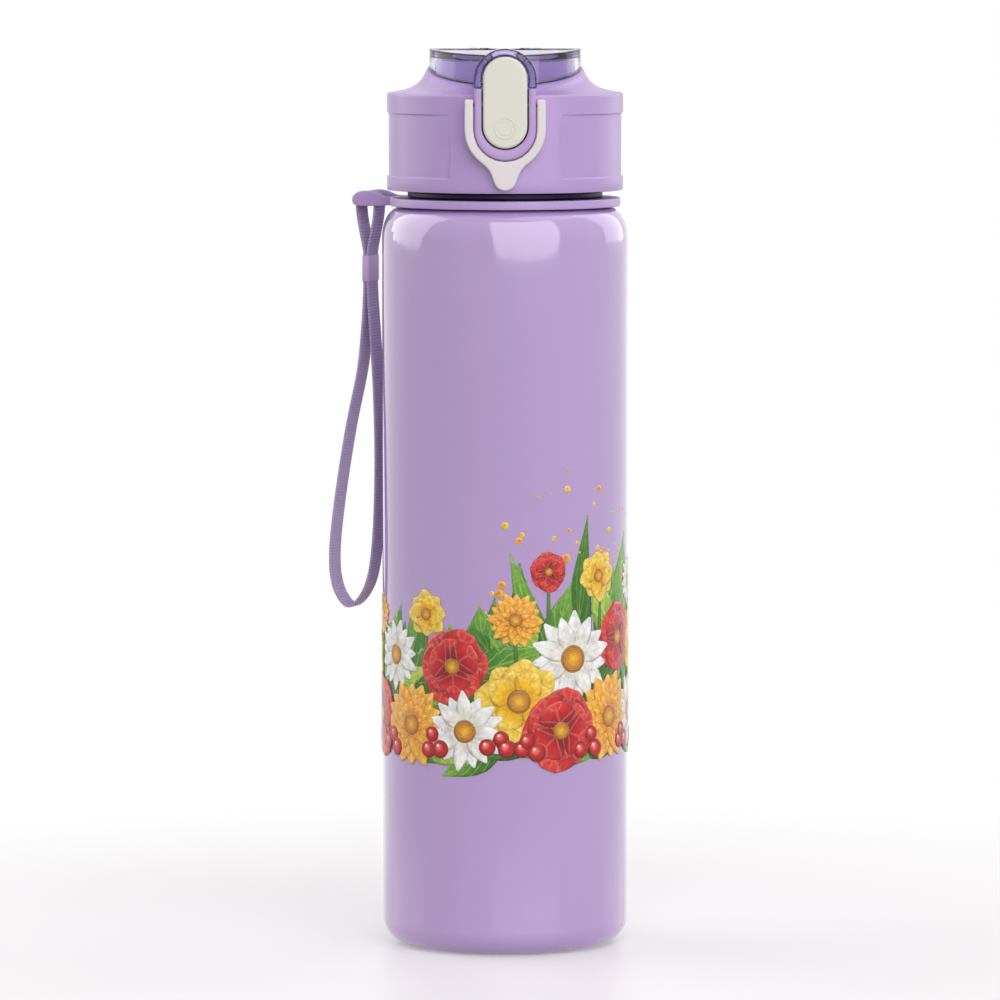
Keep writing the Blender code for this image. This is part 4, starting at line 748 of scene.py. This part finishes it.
# Dull woven yarn: a 2 by 2 twill with yarns 0.45 mm apart and a soft sheen of loose fibres along the edges.
# Its colour follows the weave's height, light on the raised yarns and dark in the hollows: painted shade.
spot = add_node(tree, "UVMap", {"uv_map": "weave"})
axes = add_node(tree, "SeparateXYZ", None, {0: (spot, 0)})
yarn = 2 * math.pi / 0.9
warp = add_node(tree, "Math", {"operation": "MULTIPLY", 1: yarn}, {0: (axes, "X")})
weft = add_node(tree, "Math", {"operation": "MULTIPLY", 1: yarn}, {0: (axes, "Y")})
twill_sum = add_node(tree, "Math", {"operation": "ADD"}, {0: (warp, 0), 1: (weft, 0)})
twill = add_node(tree, "Math", {"operation": "SINE"}, {0: (twill_sum, 0)})
rows_wave = add_node(tree, "Math", {"operation": "SINE"}, {0: (weft, 0)})
both = add_node(tree, "Math", {"operation": "MULTIPLY_ADD", 1: 0.45}, {0: (rows_wave, 0), 2: (twill, 0)})
height = add_node(tree, "MapRange", {"From Min": -1.45, "From Max": 1.45}, {"Value": (both, 0)})
fuzz = add_node(tree, "TexNoise", {"Scale": 1 / (0.5 * mm), "Detail": 4.0}, {"Vector": (place, "Object")})
# Painted shade: dark in the weave's hollows, light on its raised yarns.
tone = add_node(tree, "Mix", {"data_type": "RGBA", 6: linear("#85709F"), 7: linear("#E2CFF6")},
                {0: (height, "Result")})
speckle = add_node(tree, "MapRange", {"From Min": 0.3, "From Max": 0.7, "To Min": 0.85, "To Max": 1.12},
                   {"Value": (fuzz, "Fac")})
tinted = add_node(tree, "VectorMath", {"operation": "SCALE"}, {0: (tone, 2), "Scale": (speckle, "Result")})
relief = add_node(tree, "Bump", {"Strength": 1.0, "Distance": 0.16 * mm}, {"Height": (height, "Result")})
skin = add_node(tree, "BsdfPrincipled", {"Roughness": 0.85, "Sheen Weight": 0.3, "Sheen Roughness": 0.5},
                {"Base Color": (tinted, 0), "Normal": (relief, 0)})
add_node(tree, "OutputMaterial", None, {0: (skin, 0)})

bm = bmesh.new()
weave = bm.loops.layers.uv.new("weave")
half_width, half_thick = tape_width / 2, tape_thickness / 2
flattened, drawn_in = 0.09, 0.018
upper_shares = [(-1.0, 0.35), (-0.93, 0.85), (-0.78, 1.0), (-0.4, 0.96), (0.0, 1.0), (0.4, 0.96),
                (0.78, 1.0), (0.93, 0.85), (1.0, 0.35)]
section = upper_shares + [(side, -thick) for side, thick in upper_shares[::-1]]
rows = []
for k, point in enumerate(tape_line):
    along = (tape_line[(k + 1) % step_count] - tape_line[k - 1]).normalized()
    out = Vector((along.y, -along.x))
    pick = 0.5 + 0.5 * math.cos(2 * math.pi * k / steps_per_pick)
    row = []
    for side, thick in section:
        spot = point + out * (thick * half_thick * (1 - flattened * pick))
        edge = side * half_width * (1 - drawn_in * pick * (abs(side) > 0.9))
        row.append(bm.verts.new(along_lug(-spot.x, spot.y, edge)))
    rows.append(row)
for k in range(step_count):
    second = rows[(k + 1) % step_count]
    start, end = tape_length / mm * k / step_count, tape_length / mm * (k + 1) / step_count
    for j in range(len(section)):
        after = (j + 1) % len(section)
        face = bm.faces.new((rows[k][j], rows[k][after], second[after], second[j]))
        left, right = section[j][0] * half_width / mm, section[after][0] * half_width / mm
        for loop, where in zip(face.loops, ((left, start), (right, start), (right, end), (left, end))):
            loop[weave].uv = where
wrist_tape = add_piece("wrist_tape", bm, [tape_weave])
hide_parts("strap_webbing")
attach(wrist_tape, "strap")


# Keeper sleeve
# A soft moulded sleeve that grips both plies of the tape, dyed with it.
sleeve_across, sleeve_wide, sleeve_wall, sleeve_round = 1.15 * mm, 4.52 * mm, 0.3 * mm, 0.6 * mm
# Its wall's section, from the bore round the outside and back: share of the wall and height
sleeve_section = [(0.0, keeper_low + 0.2 * mm), (0.06, keeper_low), (0.3, keeper_low),
                  (1.0, keeper_low + 0.25 * mm), (1.0, (keeper_low + keeper_top) / 2),
                  (1.0, keeper_top - 0.25 * mm), (0.3, keeper_top), (0.06, keeper_top),
                  (0.0, keeper_top - 0.2 * mm)]

bm = bmesh.new()
rings = []
for out, height in sleeve_section:
    inset = sleeve_wall * (1 - out)
    corner = sleeve_round - inset
    flat_x, flat_y = sleeve_across - inset - corner, sleeve_wide - inset - corner
    ring = []
    for centre, start_deg in (((flat_x, flat_y), 0), ((-flat_x, flat_y), 90), ((-flat_x, -flat_y), 180),
                              ((flat_x, -flat_y), 270)):
        ring += arc_points(centre, corner, corner, start_deg, start_deg + 90, 6)
    rings.append([along_lug(keeper_out - x, height, y) for x, y in ring])
skin_rings(bm, rings, closed=True)
sleeve_rubber = satin_plastic("mauve_satin_sleeve_rubber", "#CDB2D9", "#D3B9DF", 0.5, 0.25, 0.02)
keeper_sleeve = add_piece("keeper_sleeve", bm, [sleeve_rubber])
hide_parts("strap_keeper")
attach(keeper_sleeve, "strap")


# Cap shell
# The outer cap, injection moulded in satin polypropylene: grip panels sunk between two bands, a
# concave shoulder, a tilted seat for the cover and an inner collar round the drinking spout.
cap_radius, cap_inside, cap_round = 35.0 * mm, 33.2 * mm, 0.75 * mm
cap_bottom, grip_bottom, grip_top, cap_edge = 224.7 * mm, 228.7 * mm, 247.7 * mm, 253.5 * mm
grip_depth, grip_ramp = 0.55 * mm, 0.45 * mm
grip_front_deg, grip_slant_deg = 26.6, 1.6
seat_height, seat_slope, seat_bend, seat_easing = 260.6 * mm, 0.195, 0.025, 4 * mm
cover_radius = 22.4 * mm
collar_outer, collar_inner, collar_top = 20.5 * mm, 19.0 * mm, 262.6 * mm
deck_top, deck_under, spout_hole = 253.6 * mm, 251.8 * mm, 8.9 * mm
# The concave shoulder as a cubic curve's corners, then its steep end under the cover, in mm
shoulder_corners = ((34.25, 253.5), (27.2, 254.6), (24.9, 255.4), (22.6, 261.9))
shoulder_end = [(22.45, 263.0), (22.4, 264.0), (22.4, 267.0)]
shoulder_steps, edge_steps = 40, 5
shoulder_rows = 26


def smooth_step(value, low, high):
    """0 below low, 1 above high, an even curve between."""
    share = min(max((value - low) / (high - low), 0.0), 1.0)
    return share * share * (3 - 2 * share)


def around_axis(azimuth_deg, radius, height):
    """A point at an angle from the front, clockwise seen from below."""
    angle = math.radians(azimuth_deg)
    return Vector((radius * math.sin(angle), -radius * math.cos(angle), height))


def seat_at(azimuth_deg, radius):
    """Height of the cover's tilted seat."""
    y = -radius * math.cos(math.radians(azimuth_deg))
    return seat_height + seat_slope * y - seat_bend * (math.hypot(y, seat_easing) - seat_easing)


shoulder_line = []
for t in [k / shoulder_steps for k in range(shoulder_steps + 1)]:
    shares = ((1 - t) ** 3, 3 * t * (1 - t) ** 2, 3 * t * t * (1 - t), t ** 3)
    shoulder_line.append([sum(share * corner[axis] for share, corner in zip(shares, shoulder_corners))
                          for axis in (0, 1)])
shoulder_line = [(radius * mm, height * mm) for radius, height in shoulder_line + shoulder_end]


def shoulder_under_seat(azimuth_deg):
    """The shoulder's line up to where the tilted seat cuts it."""
    line = [shoulder_line[0]]
    for first, second in zip(shoulder_line, shoulder_line[1:]):
        over = [point[1] - seat_at(azimuth_deg, point[0]) for point in (first, second)]
        if over[1] >= 0:
            share = -over[0] / (over[1] - over[0])
            return line + [tuple(a + (b - a) * share for a, b in zip(first, second))]
        line.append(second)
    return line


def grip_point(azimuth_deg, height):
    """A point of the cap's wall, sunk in the grip panels. Mesh columns near a panel's front edge
    lean round the cap to follow its slant, and the panels' top front corners fade out."""
    near = max(0.0, 1 - abs(abs(azimuth_deg) - grip_front_deg) / 10)
    middle = (grip_bottom + grip_top) / 2
    lean = min(max((height - middle) / (grip_top - middle), -1.0), 1.0)
    sunk = smooth_step(abs(azimuth_deg), grip_front_deg - 0.15, grip_front_deg + 0.5)
    sunk *= (smooth_step(height, grip_bottom, grip_bottom + grip_ramp)
             - smooth_step(height, grip_top - grip_ramp, grip_top))
    sunk *= 1 - 0.8 * smooth_step(height, 237 * mm, 246 * mm) * smooth_step(-abs(azimuth_deg), -44.0, -27.0)
    return around_axis(azimuth_deg + math.copysign(grip_slant_deg * lean * near, azimuth_deg),
                       cap_radius - grip_depth * sunk, height)


wall_heights = [grip_bottom - 1.2 * mm] + [grip_bottom + grip_ramp * k / 4 for k in range(5)]
wall_heights += [grip_bottom + grip_ramp + (grip_top - grip_bottom - 2 * grip_ramp) * share
                 for share in (0.01, 0.1, 0.2, 0.3, 0.4, 0.5, 0.6, 0.7, 0.8, 0.9, 0.99)]
wall_heights += [grip_top - grip_ramp + grip_ramp * k / 4 for k in range(5)]
wall_heights += [grip_top + 0.2 * mm, grip_top + 1.5 * mm, cap_edge - 1.2 * mm]
column_degs = [k * 1.5 for k in range(-120, 120) if abs(abs(k * 1.5) - grip_front_deg) > 1.2]
column_degs += [side * (grip_front_deg + step) for side in (-1, 1)
                for step in (-0.8, -0.15, 0.0, 0.17, 0.34, 0.5, 1.2)]
column_degs.sort()
cap_lip = [(cap_inside, cap_bottom), (cap_radius - 0.35 * mm, cap_bottom),
           (cap_radius - 0.1 * mm, cap_bottom + 0.1 * mm), (cap_radius, cap_bottom + 0.35 * mm)]


def cap_column(azimuth_deg):
    """One closed outline of the cap at an azimuth: outside up, seat, collar, deck, inside down."""
    line = shoulder_under_seat(azimuth_deg)
    edge = line[-1][0]
    rim = max(collar_top, seat_at(azimuth_deg, collar_outer) + 0.05 * mm)
    foot = min(seat_at(azimuth_deg, collar_outer) + 0.02 * mm, rim - 0.04 * mm)
    rim_centre = (cap_radius - cap_round, cap_edge - cap_round)
    upper = arc_points(rim_centre, cap_round, cap_round, 0, 80, edge_steps)
    upper += points_along(line, shoulder_rows)[:-1]
    for radius, down in ((edge - 0.08 * mm, 0.03 * mm), (edge - 0.3 * mm, 0),
                         (collar_outer + 0.02 * mm, 0)):
        upper.append((radius, seat_at(azimuth_deg, radius) - down))
    upper += [(collar_outer, foot), (collar_outer, rim - 0.02 * mm), (collar_outer - 0.1 * mm, rim),
              (collar_inner + 0.2 * mm, rim), (collar_inner, rim - 0.2 * mm),
              (collar_inner, deck_top + 0.8 * mm), (collar_inner - 0.8 * mm, deck_top),
              (spout_hole, deck_top), (spout_hole, deck_under), (cap_inside - 2 * mm, deck_under),
              (cap_inside, deck_under - 2 * mm)]
    return ([around_axis(azimuth_deg, radius, height) for radius, height in cap_lip]
            + [grip_point(azimuth_deg, height) for height in wall_heights]
            + [around_axis(azimuth_deg, radius, height) for radius, height in upper])


def combine_with(piece, tool, operation):
    """Cut a tool solid from a piece or join it on, for good."""
    modifier = piece.modifiers.new("shape", "BOOLEAN")
    modifier.operation, modifier.solver, modifier.object = operation, "EXACT", tool
    bpy.context.view_layer.update()
    shaped = bpy.data.meshes.new_from_object(piece.evaluated_get(bpy.context.evaluated_depsgraph_get()))
    piece.modifiers.clear()
    piece.data = shaped
    shaped.name = piece.name
    bpy.data.objects.remove(tool)


def facing_front(u, v, w):
    """An outline in X and Z, thick along Y."""
    return (u, w, v)


def facing_side(u, v, w):
    """An outline in Y and Z, thick along X."""
    return (w, u, v)


cap_satin = satin_plastic("lavender_satin_cap_plastic", "#B195C9", "#B699CD", 0.3, 0.3, 0.01)
inner_violet = satin_plastic("deep_violet_inner_plastic", "#BEA4E2", "#C4AAE6", 0.3, 0.3, 0.01)
# Painted shade for the latch pocket, where little light reaches.
pocket_painted_shade = satin_plastic("shadowed_violet_plastic", "#3E2D57", "#46345F", 0.6, 0.3, 0.01)
# The seat inside the cover's wall, the collar and the deck round the spout are deeper violet
outside_rows = len(cap_lip) + len(wall_heights) + edge_steps + shoulder_rows
inner_rows = range(outside_rows + 1, outside_rows + 10)
bm = bmesh.new()
skin_rings(bm, [cap_column(azimuth_deg) for azimuth_deg in column_degs], closed=True,
           slot_of=lambda row, column: 1 if column in inner_rows else 0)
cap_moulding = add_piece("cap_moulding", bm, [cap_satin, inner_violet])


# Latch housing
# A raised U-shaped frame moulded on the front of the cap, round the pocket that the release
# button rocks in. Little light reaches the pocket, so its floor and inner sides are dark violet as painted
# shade.
housing_half, pocket_half = 9.0 * mm, 6.85 * mm
housing_front, pocket_floor, housing_back = -37.6 * mm, -33.3 * mm, -32.4 * mm
housing_top, housing_low, pocket_low = 255.3 * mm, 234.4 * mm, 237.6 * mm
pocket_overlap, pocket_cut, cut_front = 0.3 * mm, 0.75 * mm, -40 * mm
# The frame's section from its outer foot over its front to its inner foot: which of the two
# outlines a point starts from, its step across in mm and its depth
housing_section = (("far", 0, housing_back), ("far", 0, housing_front + 0.6 * mm),
                   ("far", 0.1, housing_front + 0.25 * mm), ("far", 0.28, housing_front + 0.07 * mm),
                   ("far", 0.6, housing_front), ("near", -0.3, housing_front),
                   ("near", -0.1, housing_front + 0.1 * mm), ("near", 0, housing_front + 0.3 * mm),
                   ("near", 0, housing_back))
pocket_side = 7


def u_outline(half, low, top):
    """An upright U from its left end down round the bottom and up to its right end."""
    centre = low + half
    line = [(-half, top + (centre - top) * k / 8) for k in range(8)]
    line += arc_points((0, centre), half, half, 180, 360, 40)
    return line + [(half, centre + (top - centre) * (k + 1) / 8) for k in range(8)]


bm = bmesh.new()
rings = []
for far, near in zip(u_outline(housing_half, housing_low, housing_top),
                     u_outline(pocket_half, pocket_low, housing_top)):
    across = (Vector(near) - Vector(far)).normalized() * mm
    ring = []
    for start, step, depth in housing_section:
        base = Vector(far if start == "far" else near) + across * step
        ring.append((base.x, depth, base.y))
    rings.append(ring)
skin_rings(bm, rings, capped=True, slot_of=lambda row, column: 1 if column == pocket_side else 0)
floor_outline = u_outline(pocket_half + pocket_overlap, pocket_low - pocket_overlap, housing_top - 0.1 * mm)
extrude_outline(bm, floor_outline, pocket_floor, housing_back - 0.05 * mm, facing_front, slot=1)
latch_housing = add_piece("latch_housing", bm, [cap_satin, pocket_painted_shade])
sharpen(latch_housing)
bm = bmesh.new()
cut_outline = u_outline(pocket_half + pocket_cut, pocket_low - pocket_cut, housing_top + 0.7 * mm)
extrude_outline(bm, cut_outline, cut_front, housing_back - 0.15 * mm, facing_front)
combine_with(cap_moulding, add_piece("pocket_tool", bm, []), "DIFFERENCE")
sharpen(cap_moulding)
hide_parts("cap_shell")
for piece in (cap_moulding, latch_housing):
    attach(piece, "cap")


# Hinge ears
# Two rounded ears on the back of the cap's shoulder that carry the cover's hinge pin.
hinge_out, hinge_height, knuckle_radius = 25.6 * mm, 263.6 * mm, 2.6 * mm
ear_inner, ear_outer = 8 * mm, 11 * mm
ear_outline = arc_points((hinge_out, hinge_height), knuckle_radius, knuckle_radius, 0, 180, 24)
ear_outline += [(hinge_out - knuckle_radius, 256.0 * mm), (hinge_out - 1.5 * mm, 254.6 * mm),
                (hinge_out + 4.6 * mm, 253.9 * mm), (hinge_out + 3.1 * mm, 256.8 * mm),
                (hinge_out + 2.7 * mm, 260.0 * mm)]
bm = bmesh.new()
for side in (-1, 1):
    extrude_outline(bm, ear_outline, *sorted((side * ear_inner, side * ear_outer)), facing_side, 0.45 * mm)
hinge_ears = add_piece("hinge_ears", bm, [cap_satin])
sharpen(hinge_ears, 50)
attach(hinge_ears, "cap")


# Cap liner
# The pale violet inner cup that carries the cap's screw thread, pressed up into the shell.
liner_plastic = satin_plastic("pale_violet_polypropylene", "#8F7CA8", "#9683AF", 0.36, 0.4, 0.01)
dress("cap_liner", liner_plastic)
liner_bore = 28.0 * mm
liner_thread = thread_ridge("liner_thread", liner_bore, -0.5 * mm, 227.0 * mm, 236.2 * mm, 0.6,
                            liner_plastic)
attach(liner_thread, "cap")


# Gasket and cover seal
# Soft white silicone rings: one pressed on the neck's rim, one held under the cover.
milky_silicone, tree, place = start_material("milky_silicone_rubber")
dust = add_node(tree, "TexNoise", {"Scale": 1 / (0.8 * mm), "Detail": 4.0}, {"Vector": (place, "Object")})
tone = add_node(tree, "Mix", {"data_type": "RGBA", 6: linear("#DCD6E2"), 7: linear("#E9E5EC")},
                {0: (dust, "Fac")})
dull = add_node(tree, "MapRange", {"To Min": 0.42, "To Max": 0.58}, {"Value": (dust, "Fac")})
skin = add_node(tree, "BsdfPrincipled",
                {"Subsurface Weight": 0.3, "Subsurface Scale": 1.5 * mm, "IOR": 1.41},
                {"Base Color": (tone, 2), "Roughness": (dull, "Result")})
add_node(tree, "OutputMaterial", None, {0: (skin, 0)})
dress("cap_gasket", milky_silicone)
dress("cover_seal", milky_silicone)


# Drinking spout
# The hard nozzle under the cover, in a deeper violet than the cap so it shows through the cover.
dress("spout", satin_plastic("violet_glossy_nozzle_plastic", "#7C5FA6", "#8467AE", 0.16, 0.5, 0.006))


# Flip cover
# Clear polycarbonate with a violet tint: a round lid whose lower edge follows the tilted seat, a
# hood over the button, the catch bar for the button's hook and two knuckles on the hinge pin.
lid_middle, lid_back, lid_front = 266.3 * mm, 265.9 * mm, 264.7 * mm
ceiling_back, ceiling_front = 264.8 * mm, 263.2 * mm
seat_gap = 0.3 * mm
hood_half, hood_low, hood_high, tunnel_high = 9.1 * mm, 255.6 * mm, 266.9 * mm, 265.0 * mm
hood_back, hood_sunk = -21.6 * mm, 4 * mm
tool_inner, tool_outer, tool_low = 12 * mm, 42 * mm, 240 * mm
catch_half, catch_front, catch_back = 7.3 * mm, -35.1 * mm, -33.1 * mm
catch_low, catch_high = 257.9 * mm, 259.6 * mm
web_front, knuckle_inner, knuckle_outer = 20 * mm, 4.3 * mm, 7.7 * mm
# The lid's section from the middle of its top over the rim to the middle of its ceiling: radius
# in mm, the surface it is measured from, and how far above that in mm
lid_section = [(0.0, "lid", -0.45), (12.0, "lid", -0.45), (20.1, "lid", -0.45), (20.4, "lid", -0.38),
               (20.7, "lid", -0.08), (20.95, "lid", 0.0), (21.75, "lid", 0.0), (22.15, "lid", -0.12),
               (22.35, "lid", -0.35), (22.4, "lid", -0.6), (22.4, "seat", 0.15), (22.25, "seat", 0.0),
               (21.05, "seat", 0.0), (20.9, "seat", 0.05), (20.9, "ceiling", 0.0), (12.0, "ceiling", 0.0),
               (0.0, "ceiling", 0.0)]
lid_steps = 160


def lid_point(azimuth_deg, radius, base, offset):
    """A point of the lid, measured from its top, its ceiling or its seat. The top is highest at the
    two sides and falls in a soft curve to the front and the back."""
    y = -radius * math.cos(math.radians(azimuth_deg))
    height = seat_at(azimuth_deg, radius) + seat_gap
    if base == "ceiling":
        flat = ceiling_front + (ceiling_back - ceiling_front) * (y + cover_radius) / (2 * cover_radius)
        height = max(flat, height + 0.1 * mm)
    elif base == "lid":
        end = lid_back if y > 0 else lid_front
        height = lid_middle + (end - lid_middle) * (abs(y) / cover_radius) ** 1.5
    return around_axis(azimuth_deg, radius, height + offset)


def hood_arch(half, low, high):
    """An upright arch from its left foot over the top to its right foot."""
    return [(-half, low)] + arc_points((0, high - half), half, half, 180, 0, 40) + [(half, low)]


clear_cover, tree, place = start_material("clear_violet_polycarbonate")
# Polished clear plastic, tinted violet right through: nearly colourless where the light crosses a
# thin wall, deep violet where it runs along one.
ripple = add_node(tree, "TexNoise", {"Scale": 1 / (6 * mm), "Detail": 1.0}, {"Vector": (place, "Object")})
relief = add_node(tree, "Bump", {"Strength": 0.05, "Distance": 0.05 * mm}, {"Height": (ripple, "Fac")})
hazed = add_node(tree, "MapRange", {"To Min": 0.005, "To Max": 0.03}, {"Value": (ripple, "Fac")})
skin = add_node(tree, "BsdfPrincipled",
                {"Base Color": linear("#F4EEFD"), "IOR": 1.5, "Transmission Weight": 1.0},
                {"Roughness": (hazed, "Result"), "Normal": (relief, 0)})
tint = add_node(tree, "VolumeAbsorption", {"Color": linear("#B294F2"), "Density": 55.0})
add_node(tree, "OutputMaterial", None, {"Surface": (skin, 0), "Volume": (tint, 0)})

bm = bmesh.new()
lid_degs = [360 * k / lid_steps for k in range(lid_steps)]
skin_rings(bm, [[lid_point(deg, radius * mm, base, offset * mm) for deg in (lid_degs if radius else [0.0])]
                for radius, base, offset in lid_section])
flip_lid = add_piece("flip_lid", bm, [clear_cover])

bm = bmesh.new()
hood_outline = hood_arch(pocket_half, hood_low - hood_sunk, tunnel_high)
hood_outline += hood_arch(hood_half, hood_low - hood_sunk, hood_high)[::-1]
extrude_outline(bm, hood_outline, housing_front, hood_back, facing_front, 0.35 * mm)
hood = add_piece("hood", bm, [clear_cover])
bm = bmesh.new()
columns = []
for deg in range(0, 360, 4):
    grown = [(radius + 0.2 * mm, height + seat_gap) for radius, height in shoulder_under_seat(deg)]
    grown = [(tool_outer, hood_low)] + [point for point in grown if point[1] > hood_low + 0.05 * mm]
    grown.append((tool_inner, seat_at(deg, tool_inner) + seat_gap))
    grown = [(tool_inner, tool_low), (tool_outer, tool_low)] + points_along(grown, 40)
    columns.append([around_axis(deg, radius, height) for radius, height in grown])
skin_rings(bm, columns, closed=True)
combine_with(hood, add_piece("shoulder_tool", bm, []), "DIFFERENCE")
combine_with(flip_lid, hood, "UNION")
bm = bmesh.new()
extrude_outline(bm, [(-catch_half, catch_low), (catch_half, catch_low), (catch_half, catch_high),
                     (-catch_half, catch_high)], catch_front, catch_back, facing_front, 0.2 * mm)
web_low = seat_at(180, web_front) + 0.6 * mm
knuckle = arc_points((hinge_out, hinge_height), knuckle_radius, knuckle_radius, -170, 90, 28)
knuckle += [(web_front, hinge_height + knuckle_radius), (web_front, web_low),
            (hinge_out - 2.1 * mm, web_low)]
for side in (-1, 1):
    extrude_outline(bm, knuckle, *sorted((side * knuckle_inner, side * knuckle_outer)), facing_side,
                    0.3 * mm)
combine_with(flip_lid, add_piece("knuckle_tool", bm, []), "UNION")
sharpen(flip_lid, 40)
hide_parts("flip_cover")
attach(flip_lid, "cover")


# Cover edge beads
# A hair-fine near-black violet bead along each outer edge of the cover, as painted shade for the dark
# lines that the edges of the clear plastic show.
def bead(bm, line, radius, reference, closed=True):
    """A thin round wire laid along a line; reference is roughly square to the line all along."""
    rings = []
    for k, point in enumerate(line):
        before = line[k - 1] if closed or k else point
        after = line[(k + 1) % len(line)] if closed or k < len(line) - 1 else point
        along = (after - before).normalized()
        out = along.cross(reference).normalized()
        up = out.cross(along)
        circle = arc_points((0, 0), radius, radius, 0, 360, 8)[:-1]
        rings.append([point + out * x + up * y for x, y in circle])
    skin_rings(bm, rings, closed=closed, capped=not closed)


edge_radius = 0.21 * mm
# Each bead round the lid: radius in mm, surface, offset in mm, and share of the edge radius
lid_beads = ((22.28, "lid", -0.12, 1.0), (20.75, "lid", -0.2, 0.7), (20.95, "ceiling", 0.0, 0.8),
             (22.32, "seat", 0.05, 1.05))
bm = bmesh.new()
for radius, base, offset, share in lid_beads:
    bead(bm, [lid_point(deg, radius * mm, base, offset * mm) for deg in lid_degs], edge_radius * share,
         Vector((0, 0, 1)))
hood_line = hood_arch(hood_half - 0.12 * mm, hood_low + 0.15 * mm, hood_high - 0.12 * mm)
hood_line += hood_arch(pocket_half + 0.15 * mm, hood_low + 0.15 * mm, tunnel_high + 0.15 * mm)[::-1]
bead(bm, [Vector((x, housing_front + 0.08 * mm, z)) for x, z in hood_line], edge_radius, Vector((0, 1, 0)))
edge_painted_shade = satin_plastic("violet_edge_painted_shade", "#2A1C44", "#33234F", 0.16, 0.4, 0.002)
cover_beads = add_piece("cover_beads", bm, [edge_painted_shade])
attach(cover_beads, "cover")


# Hinge pin, latch pin and springs
# The hinge pin and springs are drawn stainless steel wire, bright with fine die lines along it. The latch
# pin is dark violet plastic, its darkness painted shade so that its ends read as dark gaps beside the bail.
drawn_steel, tree, place = start_material("drawn_stainless_steel")
drawn = add_node(tree, "Mapping", {"Scale": (0.1, 1, 1)}, {"Vector": (place, "Object")})
lines = add_node(tree, "TexNoise", {"Scale": 1 / (0.12 * mm), "Detail": 2.0}, {"Vector": (drawn, 0)})
rough = add_node(tree, "MapRange", {"To Min": 0.16, "To Max": 0.34}, {"Value": (lines, "Fac")})
skin = add_node(tree, "BsdfPrincipled", {"Base Color": linear("#C9C8CC"), "Metallic": 1.0},
                {"Roughness": (rough, "Result")})
add_node(tree, "OutputMaterial", None, {0: (skin, 0)})
for node in ("cover_hinge_pin", "cover_spring"):
    dress(node, drawn_steel)
coil_radius, coil_wire, coil_turns, coil_height = 1.6 * mm, 0.2 * mm, 3, 242.6 * mm
coil_ends = [corner[1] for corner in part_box("button_spring")]
coil_front, coil_back = coil_ends[0] + coil_wire, coil_ends[1] - coil_wire
coil_steps = 24 * coil_turns
coil_line = arc_points((0, coil_height), coil_radius, coil_radius, 0, 360 * coil_turns, coil_steps)
coil_line = [Vector((x, coil_front + (coil_back - coil_front) * k / coil_steps, z))
             for k, (x, z) in enumerate(coil_line)]
bm = bmesh.new()
bead(bm, coil_line, coil_wire, Vector((0, 1, 0)), closed=False)
button_coil = add_piece("button_coil", bm, [drawn_steel])
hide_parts("button_spring")
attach(button_coil, "cap")
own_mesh(button_coil)
# Painted shade: the latch pin is dark so that its ends read as shaded gaps.
dress("latch_pin", satin_plastic("dark_violet_pin_painted_shade", "#4A3560", "#523B69", 0.5, 0.3, 0.004))


# Release button
# A pill-shaped rocker in half-gloss ivory ABS, slightly yellower than the bail, with two plain
# raised rings where the thumb presses.
ivory_abs = satin_plastic("ivory_semi_gloss_abs", "#DBD8CD", "#E0DDD2", 0.42, 0.5, 0.004)
button_half, button_low, button_high = 6.45 * mm, 238.0 * mm, 264.7 * mm
button_front, button_back, barrel_inset = -38.5 * mm, -36.3 * mm, 0.3 * mm
ring_centre_height = 243.8 * mm
pivot_out, pivot_height, barrel_radius = -36.5 * mm, 250.6 * mm, 1.9 * mm
hook_low, hook_high, hook_half = 259.9 * mm, 261.7 * mm, 3.0 * mm
hook_root, hook_end = button_back - 0.3 * mm, -34.3 * mm
pill = arc_points((0, button_high - button_half), button_half, button_half, 0, 180, 40)
pill += arc_points((0, button_low + button_half), button_half, button_half, 180, 360, 40)
barrel = arc_points((pivot_out, pivot_height), barrel_radius, barrel_radius, 0, 350, 35)
hook = [(hook_root, hook_low), (hook_end, hook_low), (hook_end, (hook_low + hook_high) / 2),
        (hook_end - 0.9 * mm, hook_high), (hook_root, hook_high)]
bm = bmesh.new()
extrude_outline(bm, pill, button_front, button_back, facing_front, 0.75 * mm, 5, rim=0.3 * mm)
extrude_outline(bm, barrel, barrel_inset - button_half, button_half - barrel_inset, facing_side, 0.2 * mm)
extrude_outline(bm, hook, -hook_half, hook_half, facing_side, 0.2 * mm)
rocker_button = add_piece("rocker_button", bm, [ivory_abs])
sharpen(rocker_button, 25)
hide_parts("release_button")
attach(rocker_button, "button")
bm = bmesh.new()
for radius, thick in ((3.0 * mm, 0.15 * mm), (2.0 * mm, 0.11 * mm)):
    line = arc_points((0, ring_centre_height), radius, radius, 0, 355, 71)
    bead(bm, [Vector((x, button_front, z)) for x, z in line], thick, Vector((0, 1, 0)))
thumb_rings = add_piece("thumb_rings", bm, [ivory_abs])
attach(thumb_rings, "button")


# Lock bail
# The swinging loop round the latch housing, in the same ABS with a cooler, pinker white.
dress("lock_bail", satin_plastic("pearl_white_abs", "#DDD4D7", "#E2D9DC", 0.3, 0.5, 0.004))
